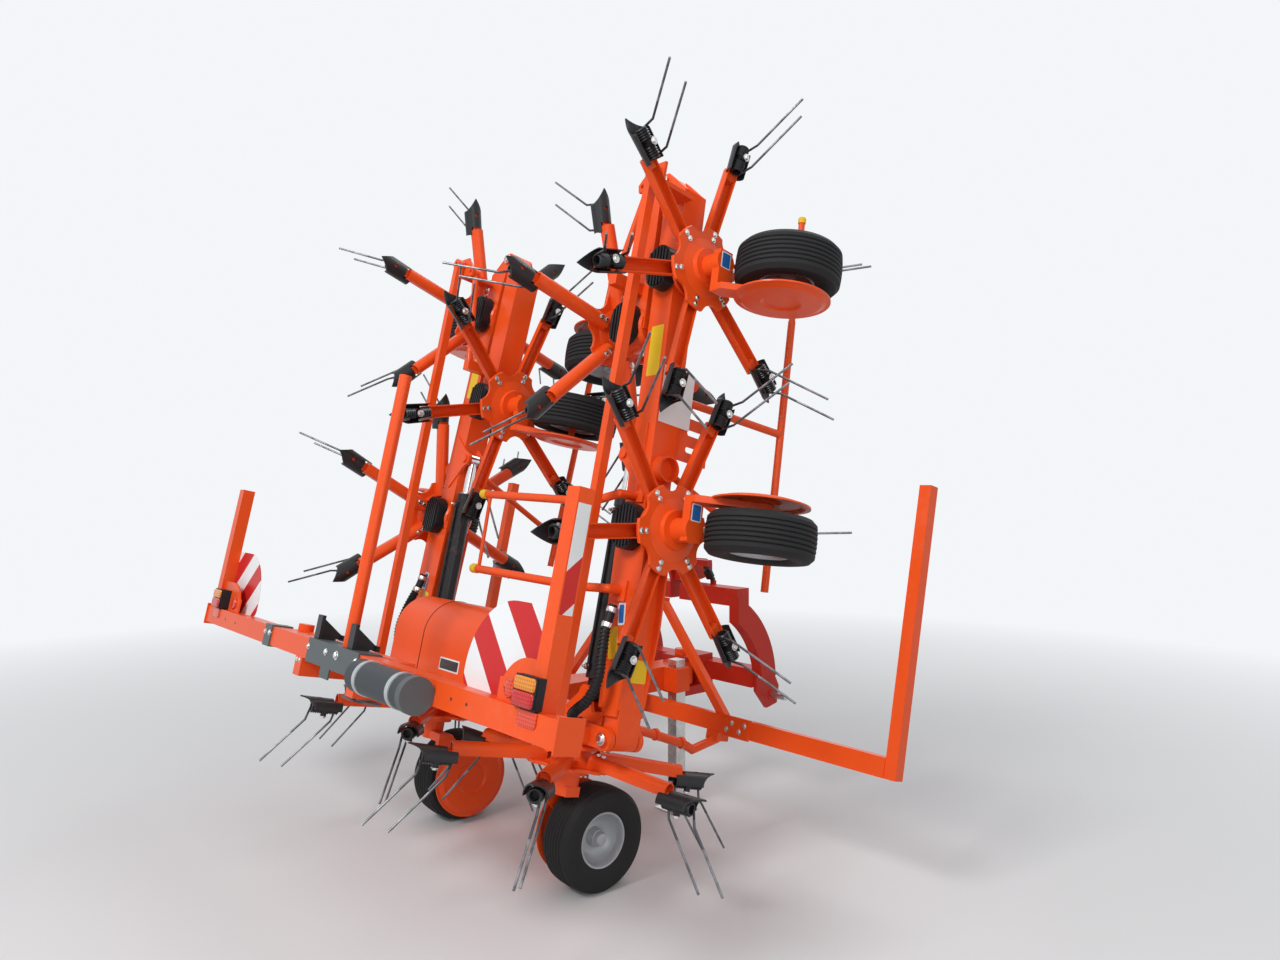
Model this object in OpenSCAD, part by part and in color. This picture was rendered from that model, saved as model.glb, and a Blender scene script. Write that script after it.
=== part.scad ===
// Folded hay tedder with eight rotors, mounted on a three-point hitch.
// Two centre rotors stand on their wheels. Each wing carries two rotors straight up,
// and its outermost rotor is folded half a turn further, inwards.
// X points to the machine's right, Y forward to the tractor, Z up.

/* [Rotors] */
// Distance between neighbouring rotor axes
rotor_pitch = 1053; // [1040:1:1080]
// Radius from a rotor's axis to its tine clamps
clamp_radius = 521; // [505:1:530]
// Radius of the outer tine tips
tip_radius = 744; // [720:1:750]
// Height of the clamp plane over the outer tine tips
tine_drop = 252; // [230:1:262]
// Diameter of the tine wire
wire_d = 9.5; // [8:0.5:11]
// Turn of the first rotor's arms from straight out, in degrees
arm_phase = 19; // [17:0.5:20]

/* [Frame] */
// Forward lean of the rotors and wings, in degrees
lean = 12.67; // [11:0.01:14]
// How far the wings are folded up, in degrees
fold = 93.3; // [92:0.1:94]
// Size of the square main tube
beam = 120; // [112:1:126]
// Wing hinge, out from the middle
hinge_x = 790; // [785:1:800]
// Height of the main tube's middle over the clamp plane
beam_rise = 190; // [188:1:196]
// Second hinge of the right wing, out from rotor 2
tip_hinge_r = 426; // [415:1:435]
// Second hinge of the left wing, out from rotor 2
tip_hinge_l = 294; // [285:1:300]

/* [Wheels] */
// Outer diameter of a tyre
tyre_d = 411; // [400:1:415]
// Width of a tyre
tyre_w = 160; // [140:1:165]
// How far a wheel runs ahead of its rotor's axis
wheel_lead = 180; // [175:1:190]

/* [Lighting bars] */
// Half length of the rear bar
rear_half = 1470; // [1440:1:1490]
// Distance of the rear bar behind the rotor axes
rear_back = 794; // [790:1:810]
// Half length of the front bar
front_half = 1425; // [1400:1:1450]

/* [Headstock] */
// Spacing of the lower link pins, middle to middle
link_span = 870; // [825:1:900]
// Height of the lower link pins
link_z = 560; // [540:1:600]
// Height of the top link hole over the lower pins
mast_h = 610; // [590:1:640]

/* [Hidden] */
$fn = 48;

// Places: shift of the whole machine, so that its box is centred on the origin
shift_x = 0;
shift_y = -213.38;
// The rotor axes cross this height over the middle line
pivot_z = 700;
// Clamp plane of the centre rotors, along the lean
clamp_n = 485;
hinge_n = clamp_n + 171;
tip_hinge_n = clamp_n + 265;
beam_n = clamp_n + beam_rise;
tyre_r = tyre_d / 2;
clamp_z = pivot_z + (clamp_n - pivot_z) * cos(lean);
// Drop from the clamp plane to the wheel's axle, so that the centre wheels touch the ground
wheel_drop = (clamp_z - wheel_lead * sin(lean) - tyre_r) / cos(lean);
// Along a wing: places of rotors 1, 2 and 3 before folding
rotor_u = [for (i = [0:3]) rotor_pitch * (i + 0.5)];
// Pivot of the fold cylinder's barrel on the centre frame, and its rod's eye on the wing, folded
cyl_foot = [612, 795];
cyl_eye = [610, 1740];
cyl_y = -20;
cyl_angle = atan2(cyl_eye[0] - cyl_foot[0], cyl_eye[1] - cyl_foot[1]);
cyl_len = norm(cyl_eye - cyl_foot);
// Foot and head pins of the long fold rod, folded; the head is this far short of the second hinge
rod_foot = [716, 618];
head_short = 220.5;
rod_head_r = [rod_foot[0], rotor_u[2] + tip_hinge_r - head_short];
rod_head_l = [rod_foot[0], rotor_u[2] + tip_hinge_l - head_short];
// Drawbar: bottom just over the front bar
front_y = 757;
front_n = clamp_n + 192;
draw_z0 = pivot_z - front_y * sin(lean) + (front_n + 76 - pivot_z) * cos(lean) + 0.3;
draw_z1 = draw_z0 + 115;
// Level input shaft
pto_z = 838;
// Rear bar: underside, posts, and the round post
bar_n = beam_n + 63;
post_r = rear_half - 160;
post_l = rear_half - 86;
// Inner edge of the lamps, middle of the round reflectors, inner edges of the carriers
lamp_x = rear_half - 203;
reflector_x = rear_half - 280;
carrier_r = rear_half - 340;
carrier_l = rear_half - 345;
mid_post = 88;
// Ends of the hood left and right of the middle
hood_l = 370;
hood_r = 500;
red = [0.86, 0.2, 0.07];
black = [0.06, 0.06, 0.07];
steel = [0.35, 0.36, 0.38];

// Frames: each one places its children, drawn as if the machine stood unfolded and level
module leaned() {
  translate([shift_x, shift_y, pivot_z])
    rotate([-lean, 0, 0])
      translate([0, 0, -pivot_z])
        children();
}

module on_side(s) {
  if (s > 0) children();
  else mirror([1, 0, 0]) children();
}

module folded(s) {
  leaned() on_side(s)
    translate([hinge_x, 0, hinge_n])
      rotate([0, -fold, 0])
        translate([-hinge_x, 0, -hinge_n])
          children();
}

function tip_u(s) = rotor_u[2] + (s > 0 ? tip_hinge_r : tip_hinge_l);

function fold_point(u, n) = [hinge_x + (u - hinge_x) * cos(fold) - (n - hinge_n) * sin(fold),
  hinge_n + (u - hinge_x) * sin(fold) + (n - hinge_n) * cos(fold)];
function tip_point(s, u, n) = fold_point(2 * tip_u(s) - u, 2 * tip_hinge_n - n);

module folded_tip(s) {
  folded(s)
    translate([tip_u(s), 0, tip_hinge_n])
      rotate([0, -180, 0])
        translate([-tip_u(s), 0, -tip_hinge_n])
          children();
}

// Place of rotor i on side s: 0 is a centre rotor, 1 to 3 are a wing's
module at_rotor(s, i) {
  if (i == 0) leaned() on_side(s) translate([rotor_u[0], 0, clamp_n]) children();
  else if (i < 3) folded(s) translate([rotor_u[i], 0, clamp_n]) children();
  else folded_tip(s) translate([rotor_u[3], 0, clamp_n]) children();
}

// Arms of neighbours stand alternately, so that their tines pass each other
function phase(s, i) = s > 0
  ? (i % 2 == 0 ? 30 - arm_phase : arm_phase)
  : (i % 2 == 0 ? 180 - arm_phase : 150 + arm_phase);

// Rotor: flared dish hub with six bolted arms of open channel
module arm_section() {
  difference() {
    union() {
      circle(r = 28);
      translate([0, -28]) square([22, 56]);
    }
    circle(r = 23.5);
    translate([0, -23.5]) square([60, 47]);
    translate([22, -40]) square([20, 80]);
  }
}

module rotor(s, i) {
  color(red) at_rotor(s, i) {
    difference() {
      rotate_extrude($fn = 96)
        polygon([[46.05, -5], [74, -5], [78, 12], [120, 22], [172, 22], [176, 26], [176, 34],
          [120, 36], [84, 52], [72, 92], [46.05, 92]]);
      for (k = [0:5]) rotate(phase(s, i) + 60 * k + 30)
        translate([205, 0, 10]) cylinder(r = 58, h = 40);
    }
    for (k = [0:5]) rotate(phase(s, i) + 60 * k) {
      translate([108, 0, 60])
        rotate([0, 93.2, 0])
          linear_extrude(368)
            arm_section();
      translate([430, -20, 28]) cube([138, 40, 6]);
      translate([430, -20, 28]) cube([24, 40, 28]);
      translate([96, -30, 34]) cube([70, 60, 6]);
    }
  }
}

// Tine set of one arm: clamp block, two spring coils, two tines, and the guard over them
module rod_between(a, b, r) {
  d = b - a;
  translate(a)
    rotate([0, atan2(norm([d[0], d[1]]), d[2]), atan2(d[1], d[0])])
      cylinder(r = r, h = norm(d), $fn = 16);
}

module tine(start, tip) {
  knee = [start[0] + 14, start[1], -60];
  rod_between(start, knee, wire_d / 2);
  translate(knee) sphere(r = wire_d / 2 + 0.3, $fn = 16);
  rod_between(knee, tip, wire_d / 2);
}

// Spring coil: close turns of wire, wound along X from x = 0
module coil() {
  turns = 5;
  rotate([0, 90, 0]) rotate_extrude($fn = 24)
    polygon(concat([[17.5, 0], [27 - wire_d / 2, 0]],
      [for (k = [0:turns - 1], e = [0.5, 1]) [27 - (e - 0.5) * wire_d, (k + e) * wire_d]],
      [[17.5, turns * wire_d]]));
}

module tine_set() {
  half = 12.7;
  coil_end = half + 5 * wire_d;
  // clamp block and bolt
  translate([clamp_radius - 13, -17, -24]) cube([26, 34, 51.7]);
  translate([clamp_radius, 0, -36]) cylinder(r = 13, h = 14, $fn = 24);
  // coils
  translate([clamp_radius + half, 0, 0]) coil();
  translate([clamp_radius - coil_end, 0, 0]) coil();
  // tines, off the outer ends of the coils
  tine([clamp_radius + coil_end - 5, 20, 0], [tip_radius, 20, -tine_drop]);
  tine([clamp_radius - coil_end + 5, 20, 0], [tip_radius - 95, 20, -tine_drop - 18]);
  // guard: a half shell over coils and arm end, running out to a point
  difference() {
    translate([clamp_radius - 70, 0, 0]) rotate([0, 90, 0]) difference() {
      cylinder(r1 = 42.5, r2 = 46, h = 185, $fn = 40);
      translate([0, 0, -1]) cylinder(r = 39.8, h = 187, $fn = 40);
    }
    translate([clamp_radius - 75, -60, -70]) cube([240, 120, 62]);
    translate([clamp_radius - 75, -29, 20]) cube([45, 58, 40]);
    for (e = [0, 1]) mirror([0, e, 0])
      translate([clamp_radius + 45, 46, -80]) rotate([0, 0, -33.3]) cube([130, 70, 160]);
    translate([clamp_radius + 30, 0, 30]) cylinder(r = 9, h = 30);
  }
}

module tines(s, i) {
  color(black) at_rotor(s, i)
    for (k = [0:5]) rotate(phase(s, i) + 60 * k) tine_set();
}

// Wheel: tyre and rim on a stub axle, one side open
module wheel(s, i) {
  color(black) at_rotor(s, i) translate([0, wheel_lead, -wheel_drop]) rotate([0, 90, 0]) {
    rotate_extrude($fn = 96)
      polygon([[104, -58], [118, -66], [150, -tyre_w / 2], [180, -tyre_w / 2 + 2], [197, -66], [tyre_r - 1, -44],
        [tyre_r, 0], [tyre_r - 1, 44], [197, 66], [180, tyre_w / 2 - 2], [150, tyre_w / 2], [118, 66], [104, 58]]);
    rotate_extrude($fn = 64)
      polygon([[15.05, -46], [30, -46], [30, -12], [60, -8], [88, -20], [96, -58], [103.9, -58], [103.9, 58],
        [96, 58], [90, 0], [60, 6], [30, 4], [30, 46], [15.05, 46]]);
  }
}

// Wheel leg of one rotor: tube down through the rotor, a plate arm beside the tyre, the axle, and the deflector
module wheel_leg(d) {
  translate([0, 0, -90]) cylinder(r = 46, h = 190, $fn = 64);
  side_u = tyre_w / 2 + 18;
  difference() {
    translate([d > 0 ? -46 : -side_u - 26, -34, -90]) cube([side_u + 72, 66, 38]);
    translate([0, wheel_lead, -wheel_drop]) rotate([0, 90, 0]) cylinder(r = tyre_r + 8, h = 150, center = true, $fn = 96);
  }
  translate([d > 0 ? side_u : -side_u - 26, 0, 0]) rotate([90, 0, 90]) linear_extrude(26)
    polygon([[-34, -52], [32, -52], [60, -80], [wheel_lead + 34, -wheel_drop + 14], [wheel_lead + 26, -wheel_drop - 26],
      [wheel_lead - 24, -wheel_drop - 32], [wheel_lead - 46, -wheel_drop], [-34, -110]]);
  translate([d > 0 ? -56 : -side_u - 4, wheel_lead, -wheel_drop]) rotate([0, 90, 0]) cylinder(r = 15, h = side_u + 60);
  translate([d * (side_u + 25), wheel_lead - 6, -wheel_drop + 12]) rotate([0, d * 90, 0]) rotate_extrude($fn = 96)
    polygon([[0, 0], [72, 0], [84, 8], [148, 8], [168, -2], [186, -2], [186, 4], [171, 4], [151, 14], [81, 14], [69, 6], [0, 6]]);
}

// Gear housing that sits on the main tube over a rotor
module gear_housing(grow = 0) {
  translate([0, 0, 95]) rotate_extrude($fn = 64)
    polygon([[0, 0], [104 + grow, 0], [104 + grow, 12], [92 + grow, 22], [88 + grow, 60], [84 + grow, 132],
      [70 + grow, 150], [0, 150]]);
}

module main_tube(u0, u1) {
  translate([u0, -beam / 2, beam_n - beam / 2]) cube([u1 - u0, beam, beam]);
}

// Root: the centre frame with its tube, hinge ears, cylinder brackets, drawbar and wheel legs
module centre_frame() {
  color(red) {
    leaned() {
      main_tube(-hinge_x + 55, hinge_x - 55);
      for (s = [1, -1]) on_side(s) {
        translate([rotor_u[0], 0, clamp_n]) {
          gear_housing();
          wheel_leg(-1);
        }
        // hinge ears and pin
        for (y = [-82, 60.3]) translate([0, y, 0]) hinge_ear(hinge_x - 130, hinge_x, 21.7);
        translate([hinge_x, -96, hinge_n]) rotate([-90, 0, 0]) cylinder(r = 20, h = 192);
        // bracket plates of the fold cylinder
        for (y = [-41, 25]) translate([cyl_foot[0], cyl_y + y + 16, 0]) rotate([90, 0, 0]) linear_extrude(16) {
          polygon([[-120, beam_n + 40], [70, beam_n + 40], [34, cyl_foot[1]], [-34, cyl_foot[1]]]);
          translate([0, cyl_foot[1]]) circle(r = 34);
        }
        translate([cyl_foot[0], cyl_y - 46, cyl_foot[1]]) rotate([-90, 0, 0]) cylinder(r = 15, h = 92);
        // bracket and pin of the long fold rod
        translate([rod_foot[0] - 40, -228, beam_n - 50]) cube([30, 170, 60]);
        translate([rod_foot[0] - 40, -228, rod_foot[1] - 34]) cube([66, 12, 90]);
        translate([rod_foot[0], -282, rod_foot[1]]) rotate([-90, 0, 0]) cylinder(r = 12, h = 60);
        // carriers of the rear bar
        translate([220, -rear_back + 40.3, beam_n - 10]) cube([60, rear_back - 90, 60]);
      }
    }
    translate([shift_x, shift_y, 0]) {
      // drawbar to the headstock's pivot, and its braces
      translate([-70, -30, draw_z0]) cube([140, 1030, 115]);
      for (s = [-1, 1]) rod_between([s * 330, 20, 650], [s * 50, 800, 650], 32);
      translate([0, 1060, draw_z0]) cylinder(r = 62, h = 115);
      translate([-62, 990, draw_z0]) cube([124, 70, 115]);
      translate([0, 1060, draw_z0 - 60]) cylinder(r = 30, h = 235);
      // sleeve of the parking leg
      translate([69, 880, draw_z0]) difference() {
        cube([92, 86, 115]);
        translate([14.7, 12.7, -1]) cube([60.6, 60.6, 118]);
      }
    }
  }
}

module hinge_ear(u0, u1, t) {
  translate([0, t, 0]) rotate([90, 0, 0]) linear_extrude(t) {
    translate([u0, beam_n - beam / 2 + 4]) square([u1 - u0, beam - 42]);
    translate([u1, hinge_n]) circle(r = 41);
  }
}

// Gearbox in the middle with the input shaft to the front
module centre_gearbox() {
  color(red) leaned() {
    translate([-110, -70, beam_n + beam / 2 + 0.3]) cube([220, 190, 170]);
  }
  color(red) translate([shift_x, shift_y + 60, pto_z]) rotate([-90, 0, 0]) cylinder(r = 48, h = 154);
  color(steel) translate([shift_x, shift_y + 213, pto_z]) rotate([-90, 0, 0]) cylinder(r = 17.5, h = 97);
}

module hood() {
  color(red) leaned() difference() {
    translate([-hood_l, 0, 0]) rotate([90, 0, 90]) linear_extrude(hood_l + hood_r) hood_outline(0);
    translate([-hood_l + 5, 0, 0]) rotate([90, 0, 90]) linear_extrude(hood_l + hood_r - 10) hood_outline(5);
  }
}

module hood_outline(t) {
  difference() {
    union() {
      translate([-230, 900]) circle(r = 150 - t, $fn = 96);
      translate([-380 + t, beam_n + 50.3 - (t > 0 ? 5 : 0)]) square([292 - 2 * t, 850 - beam_n + (t > 0 ? 5 : 0)]);
    }
    translate([-88 - t, 700]) square([200, 400]);
  }
}

// Headstock: swivels on the drawbar's pin and carries the three hitch points
module headstock() {
  color([0.72, 0.1, 0.05]) translate([shift_x, shift_y, 0]) {
    difference() {
      union() {
        translate([-80, 1010, draw_z0 - 50]) cube([160, 200, 44]);
        translate([-80, 1010, draw_z1 + 6]) cube([160, 200, 24]);
        translate([-80, 1128, draw_z0 - 50]) cube([160, 84, 195]);
      }
      translate([0, 1060, 500]) cylinder(r = 30.05, h = 400);
    }
    // cross tube and lower link plates
    translate([-link_span / 2 + 44, 1160, 610]) cube([link_span - 88, 90, 90]);
    for (s = [-1, 1]) on_side(s) {
      translate([link_span / 2 - 46, 0, 0]) rotate([90, 0, 90]) linear_extrude(20)
        polygon([[1180, 590], [1255, 500], [1330, 515], [1345, 600], [1290, 700], [1180, 720]]);
      translate([link_span / 2 - 60, 1290, link_z]) rotate([0, 90, 0]) cylinder(r = 14, h = 124);
      translate([link_span / 2 - 60, 1290, link_z]) rotate([0, 90, 0]) cylinder(r = 26, h = 38);
      // curved leg up to the mast head
      curved_leg();
    }
    // mast head with the top link hole
    difference() {
      for (x = [-50, 32]) translate([x, 0, 0]) rotate([90, 0, 90]) linear_extrude(18)
        polygon([[1040, 1090], [1200, 1120], [1240, 1150], [1240, 1190], [1200, 1215], [1060, 1230], [1010, 1180]]);
      translate([-60, 1205, link_z + mast_h]) rotate([0, 90, 0]) cylinder(r = 12.8, h = 120);
    }
    translate([-50, 1050, 1110]) cube([100, 60, 90]);
    // arm and lug that hold the swing damper
    translate([32, 1030, 1196]) cube([186, 36, 30]);
    translate([186, 1086, 1103]) cube([28, 14, 20]);
  }
}

// One swept leg of the headstock, cut from a wide bow
module curved_leg() {
  translate([link_span / 2 - 58, 0, 0]) rotate([90, 0, 90]) linear_extrude(60) difference() {
    intersection() {
      translate([820, 640]) circle(r = 470, $fn = 128);
      translate([1020, 660]) square([300, 520]);
    }
    translate([800, 620]) circle(r = 390, $fn = 128);
  }
  translate([32, 1020, 1020]) cube([link_span / 2 - 40, 84, 84]);
}

module parking_leg() {
  color(steel) translate([shift_x, shift_y, 0]) {
    translate([84, 893, 9]) cube([60, 60, draw_z1 + 30]);
    translate([34, 850, 0]) cube([160, 140, 10]);
  }
}

// Rear lighting bar with its posts, lamp carriers, second rail and clamped sleeve
module rear_bar() {
  color(red) leaned() translate([0, -rear_back, 0]) {
    translate([-rear_half, -40, bar_n]) cube([2 * rear_half, 80, 80]);
    for (s = [-1, 1]) on_side(s) translate([220, -40, beam_n - 10]) cube([60, 80, bar_n - beam_n + 11]);
    translate([post_r, -28, bar_n + 70]) cube([56, 56, 1445 - bar_n - 70]);
    translate([-post_l - 56, -28, bar_n + 70]) cube([56, 56, 1410 - bar_n - 70]);
    translate([mid_post, 0, bar_n + 70]) cylinder(r = 24, h = 1885 - bar_n - 70);
    // rounded carriers beside the posts
    for (c = [[1, carrier_r, post_r], [-1, carrier_l, post_l]]) on_side(c[0]) translate([0, -6, 0]) rotate([90, 0, 0]) linear_extrude(8) {
      translate([c[1] + 130, bar_n + 84]) circle(r = 130 - 70);
      translate([c[1], bar_n + 75]) square([c[2] - c[1] + 5, 69]);
      translate([c[1] + 130, bar_n + 75]) square([c[2] - c[1] - 125, 139]);
      intersection() {
        translate([c[1] + 130, bar_n + 84]) circle(r = 130);
        translate([c[1], bar_n + 75]) square([140, 139]);
      }
    }
    // second rail before the bar, on two blocks, with its upright pin
    translate([-570, 60, bar_n + 30]) cube([980, 50, 50]);
    for (x = [-570, 350]) translate([x, 35, bar_n + 30]) cube([60, 40, 50]);
    translate([-537, 85, bar_n + 30]) cylinder(r = 33, h = 78);
    // end plates
    for (s = [-1, 1]) on_side(s) translate([rear_half - 0.5, -46, bar_n - 10]) cube([5.5, 92, 100]);
  }
}

// Grey sleeve and band clamped round the bar, hanging strips and the plate below them
module clamps() {
  color([0.25, 0.26, 0.28]) leaned() translate([0, -rear_back, 0]) {
    bar_sleeve(-175, 450);
    bar_sleeve(-652, 72);
    translate([-20, -46, bar_n - 45]) cube([80, 5.7, 60]);
    translate([146, 2, bar_n - 84]) cube([66, 6, 83.5]);
    translate([95, -6, bar_n - 90]) linear_extrude(6.5)
      polygon([[0, 20], [50, -10], [150, -10], [240, 50], [190, 80], [40, 66]]);
  }
}

module bar_sleeve(x, length) {
  difference() {
    translate([x, -46, bar_n - 6]) cube([length, 92, 92]);
    translate([x - 1, -40.3, bar_n - 0.3]) cube([length + 2, 80.6, 80.6]);
    translate([mid_post, 0, bar_n + 60]) cylinder(r = 24.3, h = 60);
    translate([219.7, -40.3, bar_n - 10]) cube([60.6, 80.6, 12]);
  }
}

// Panels on the posts' front faces, their inner top corner rounded off
module warning_panels() {
  color([0.93, 0.93, 0.93]) leaned()
    for (p = [[1, post_r - 446, 470], [-1, post_l - 374, 420]]) on_side(p[0])
      translate([p[1], -rear_back + 28.3, 803 + 15]) rotate([90, 0, 0]) mirror([0, 0, 1]) linear_extrude(3) {
        translate([225, 60]) intersection() {
          circle(r = 225, $fn = 128);
          translate([-225, 0]) square([225, 225]);
        }
        translate([0, 30]) square([225, 31]);
        translate([30, 0]) square([195.5, 31]);
        translate([30, 30]) circle(r = 30);
        translate([224, 0]) square([p[2] - 224, 285]);
      }
}

// Lamps: lenses, and dark housings behind them
module lamps() {
  color([0.6, 0.05, 0.05]) leaned()
    for (s = [1, -1]) on_side(s) {
      translate([lamp_x, -rear_back - 64, bar_n + 87]) cube([104, 9.7, 82]);
      // round reflector on the carrier
      translate([reflector_x, -rear_back - 14.3, bar_n + 120]) rotate([90, 0, 0]) cylinder(r = 28, h = 8);
    }
}

module lamp_housings() {
  color(black) leaned()
    for (c = [[1, 28.3], [-1, 14.3]]) on_side(c[0]) difference() {
      translate([lamp_x - 3, -rear_back - 54, bar_n + 84]) cube([110, 54 - c[1], 88]);
      translate([lamp_x + 23, -rear_back - c[1] - 6, bar_n + 100]) cube([16, 30, 56]);
    }
}

// Black rests on the bar for the folded sections: an upright with a gusset
module rests() {
  color(black) leaned() translate([0, -rear_back, bar_n + 86.3])
    for (x = [-150, 156]) translate([x - 22, -30, 0]) {
      cube([44, 70, 8]);
      cube([44, 14, 92]);
      translate([16, 10, 0]) rotate([90, 0, 90]) linear_extrude(12) polygon([[0, 0], [100, 6], [100, 14], [0, 84]]);
      translate([0, 100, 0]) cube([44, 10, 22]);
    }
}

// Closed document tube under the bar
module canister() {
  color([0.2, 0.21, 0.23]) leaned()
    translate([430, -rear_back - 100.3, beam_n + 90]) rotate([0, 90, 0]) {
      cylinder(r = 57, h = 380, $fn = 64);
      translate([0, 0, 372]) cylinder(r = 60, h = 30, $fn = 64);
      for (z = [60, 300]) translate([0, 0, z]) cylinder(r = 60, h = 22, $fn = 64);
      translate([-26, 40, 60]) cube([52, 20, 22]);
      translate([-26, 40, 300]) cube([52, 20, 22]);
    }
}

// Front bar with its posts, its upright braces and the splice plates
module front_bar() {
  color(red) leaned() {
    translate([-front_half, front_y, front_n]) cube([2 * front_half, 60, 76]);
    for (s = [1, -1]) on_side(s) {
      translate([front_half, front_y + 5, front_n]) cube([50, 50, 1120]);
      // square brace up to the middle
      hull() {
        translate([548, front_y + 10, front_n + 70]) cube([44, 36, 10]);
        translate([140, front_y - 70, 1200]) cube([36, 36, 10]);
      }
      translate([610, front_y - 12, front_n - 6]) cube([150, 12.5, 88]);
    }
    translate([-176, front_y - 70, 1190]) cube([352, 36, 36]);
  }
}

// Bent tubes from the main tube to the front bar
module stays() {
  color(red) leaned() for (s = [1, -1]) on_side(s) {
    path = [[60.3, beam_n], [334, 656], [582, 612], [640, 590], [front_y + 30, front_n - 34]];
    rod_between([397, path[0][0] + 12, path[0][1]], [550, path[1][0], path[1][1]], 19);
    for (k = [1:3]) rod_between([550, path[k][0], path[k][1]], [550, path[k + 1][0], path[k + 1][1]], 19);
    for (k = [1:3]) translate([550, path[k][0], path[k][1]]) sphere(r = 19.4, $fn = 24);
    translate([358, 60.3, beam_n - 45]) cube([78, 12, 90]);
    for (y = [400, 560]) translate([550, y, 656 - (y - 334) * 0.18]) rotate([-80, 0, 0]) cylinder(r = 25, h = 16);
    translate([515, front_y - 6, front_n - 40]) cube([70, 72, 39.7]);
  }
}

// Wing: hinge knuckle, main tube, gear housings of rotors 1 and 2, and their wheel legs
module wing(s) {
  color(red) folded(s) {
    difference() {
      union() {
        main_tube(hinge_x + 110, tip_u(s) - 70);
        translate([hinge_x, 55, hinge_n]) rotate([90, 0, 0]) cylinder(r = 40, h = 110);
        translate([hinge_x, -55, hinge_n - 40]) cube([112, 110, 80]);
      }
      translate([hinge_x, -60, hinge_n]) rotate([-90, 0, 0]) cylinder(r = 20.05, h = 120);
    }
    // side plates, widening from the hinge to rotor 1
    for (y = [-68, 59]) translate([0, y + 9, 0]) rotate([90, 0, 0]) linear_extrude(9)
      polygon([[hinge_x + 85, hinge_n - 34], [hinge_x + 85, hinge_n + 38], [hinge_x + 330, beam_n + 74], [rotor_u[1] - 60, beam_n + 74],
        [rotor_u[1] - 60, beam_n - 96], [hinge_x + 420, beam_n - 92]]);
    translate([rotor_u[1] + 240, 0, beam_n - beam / 2]) rotate([180, 0, 0]) difference() {
      translate([0, 0, -1]) cylinder(r = 52, h = 46);
      translate([0, 0, 10]) cylinder(r = 44, h = 60);
    }
    for (i = [1, 2]) translate([rotor_u[i], 0, clamp_n]) {
      gear_housing();
      wheel_leg(i == 1 ? 1 : -1);
    }
    // slotted plate standing off the main tube's front
    if (s > 0) translate([rotor_u[1] + 300, 59, beam_n - 56]) difference() {
      cube([180, 180, 6]);
      for (u = [40, 110]) translate([u, 70, -1]) {
        cube([24, 70, 8]);
        for (y = [0, 70]) translate([12, y, 0]) cylinder(r = 12, h = 8);
      }
    }
    // forked ears of the second hinge, with its pin
    for (y = [-60, 40]) translate([0, y + 20, 0]) rotate([90, 0, 0]) linear_extrude(20) {
      polygon([[tip_u(s) - 170, beam_n - beam / 2], [tip_u(s) - 69, beam_n - beam / 2], [tip_u(s) + 34, tip_hinge_n - 20],
        [tip_u(s) + 34, tip_hinge_n], [tip_u(s) - 34, tip_hinge_n], [tip_u(s) - 170, beam_n + beam / 2]]);
      translate([tip_u(s), tip_hinge_n]) circle(r = 34);
    }
    translate([tip_u(s), -72, tip_hinge_n]) rotate([-90, 0, 0]) cylinder(r = 20, h = 144);
  }
  // bracket plates for the cylinder's eye and for the fold rod, drawn in the folded pose
  color(red) leaned() on_side(s) {
    for (y = [-46, 30]) translate([0, cyl_y + y + 16, 0]) rotate([90, 0, 0]) linear_extrude(16) {
      polygon([[725, cyl_eye[1] - 150], [725, cyl_eye[1] + 120], [cyl_eye[0], cyl_eye[1] + 34], [cyl_eye[0], cyl_eye[1] - 34]]);
      translate(cyl_eye) circle(r = 34);
    }
    for (y = [-56, 46]) translate([cyl_eye[0], cyl_y + y, cyl_eye[1]]) rotate([-90, 0, 0]) cylinder(r = 20, h = 10);
    head = s > 0 ? rod_head_r : rod_head_l;
    translate([head[0] - 40, -228, head[1] - 50]) cube([80, 172, 18]);
    translate([head[0] - 40, -228, head[1] - 50]) cube([80, 12, 90]);
    translate([0, -216, 0]) rotate([90, 0, 0]) linear_extrude(12) difference() {
      polygon([[head[0] - 38, head[1] - 50], [head[0] - 38, head[1] + 36], [head[0] - 74, head[1] + 4],
        [head[0] - 106, head[1] - 30], [head[0] - 98, head[1] - 62], [head[0] - 70, head[1] - 62]]);
      translate([head[0] - 80, head[1] - 38]) circle(r = 9);
    }
  }
}

// Outermost section of a wing, from the second hinge to rotor 3
module tip(s) {
  color(red) folded_tip(s) {
    difference() {
      union() {
        main_tube(tip_u(s) + 70, rotor_u[3] + 20);
        translate([tip_u(s), 39.7, tip_hinge_n]) rotate([90, 0, 0]) cylinder(r = 34, h = 79.4);
        translate([0, 39.7, 0]) rotate([90, 0, 0]) linear_extrude(79.4)
          polygon([[tip_u(s) - 30, tip_hinge_n - 14], [tip_u(s) + 70, beam_n - beam / 2], [tip_u(s) + 150, beam_n - beam / 2],
            [tip_u(s) + 150, beam_n + beam / 2], [tip_u(s) + 28, tip_hinge_n + 20]]);
      }
      translate([tip_u(s), -60, tip_hinge_n]) rotate([-90, 0, 0]) cylinder(r = 20.05, h = 120);
    }
    translate([rotor_u[3], 0, clamp_n]) {
      gear_housing();
      wheel_leg(s > 0 ? -1 : 1);
    }
  }
}

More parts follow.
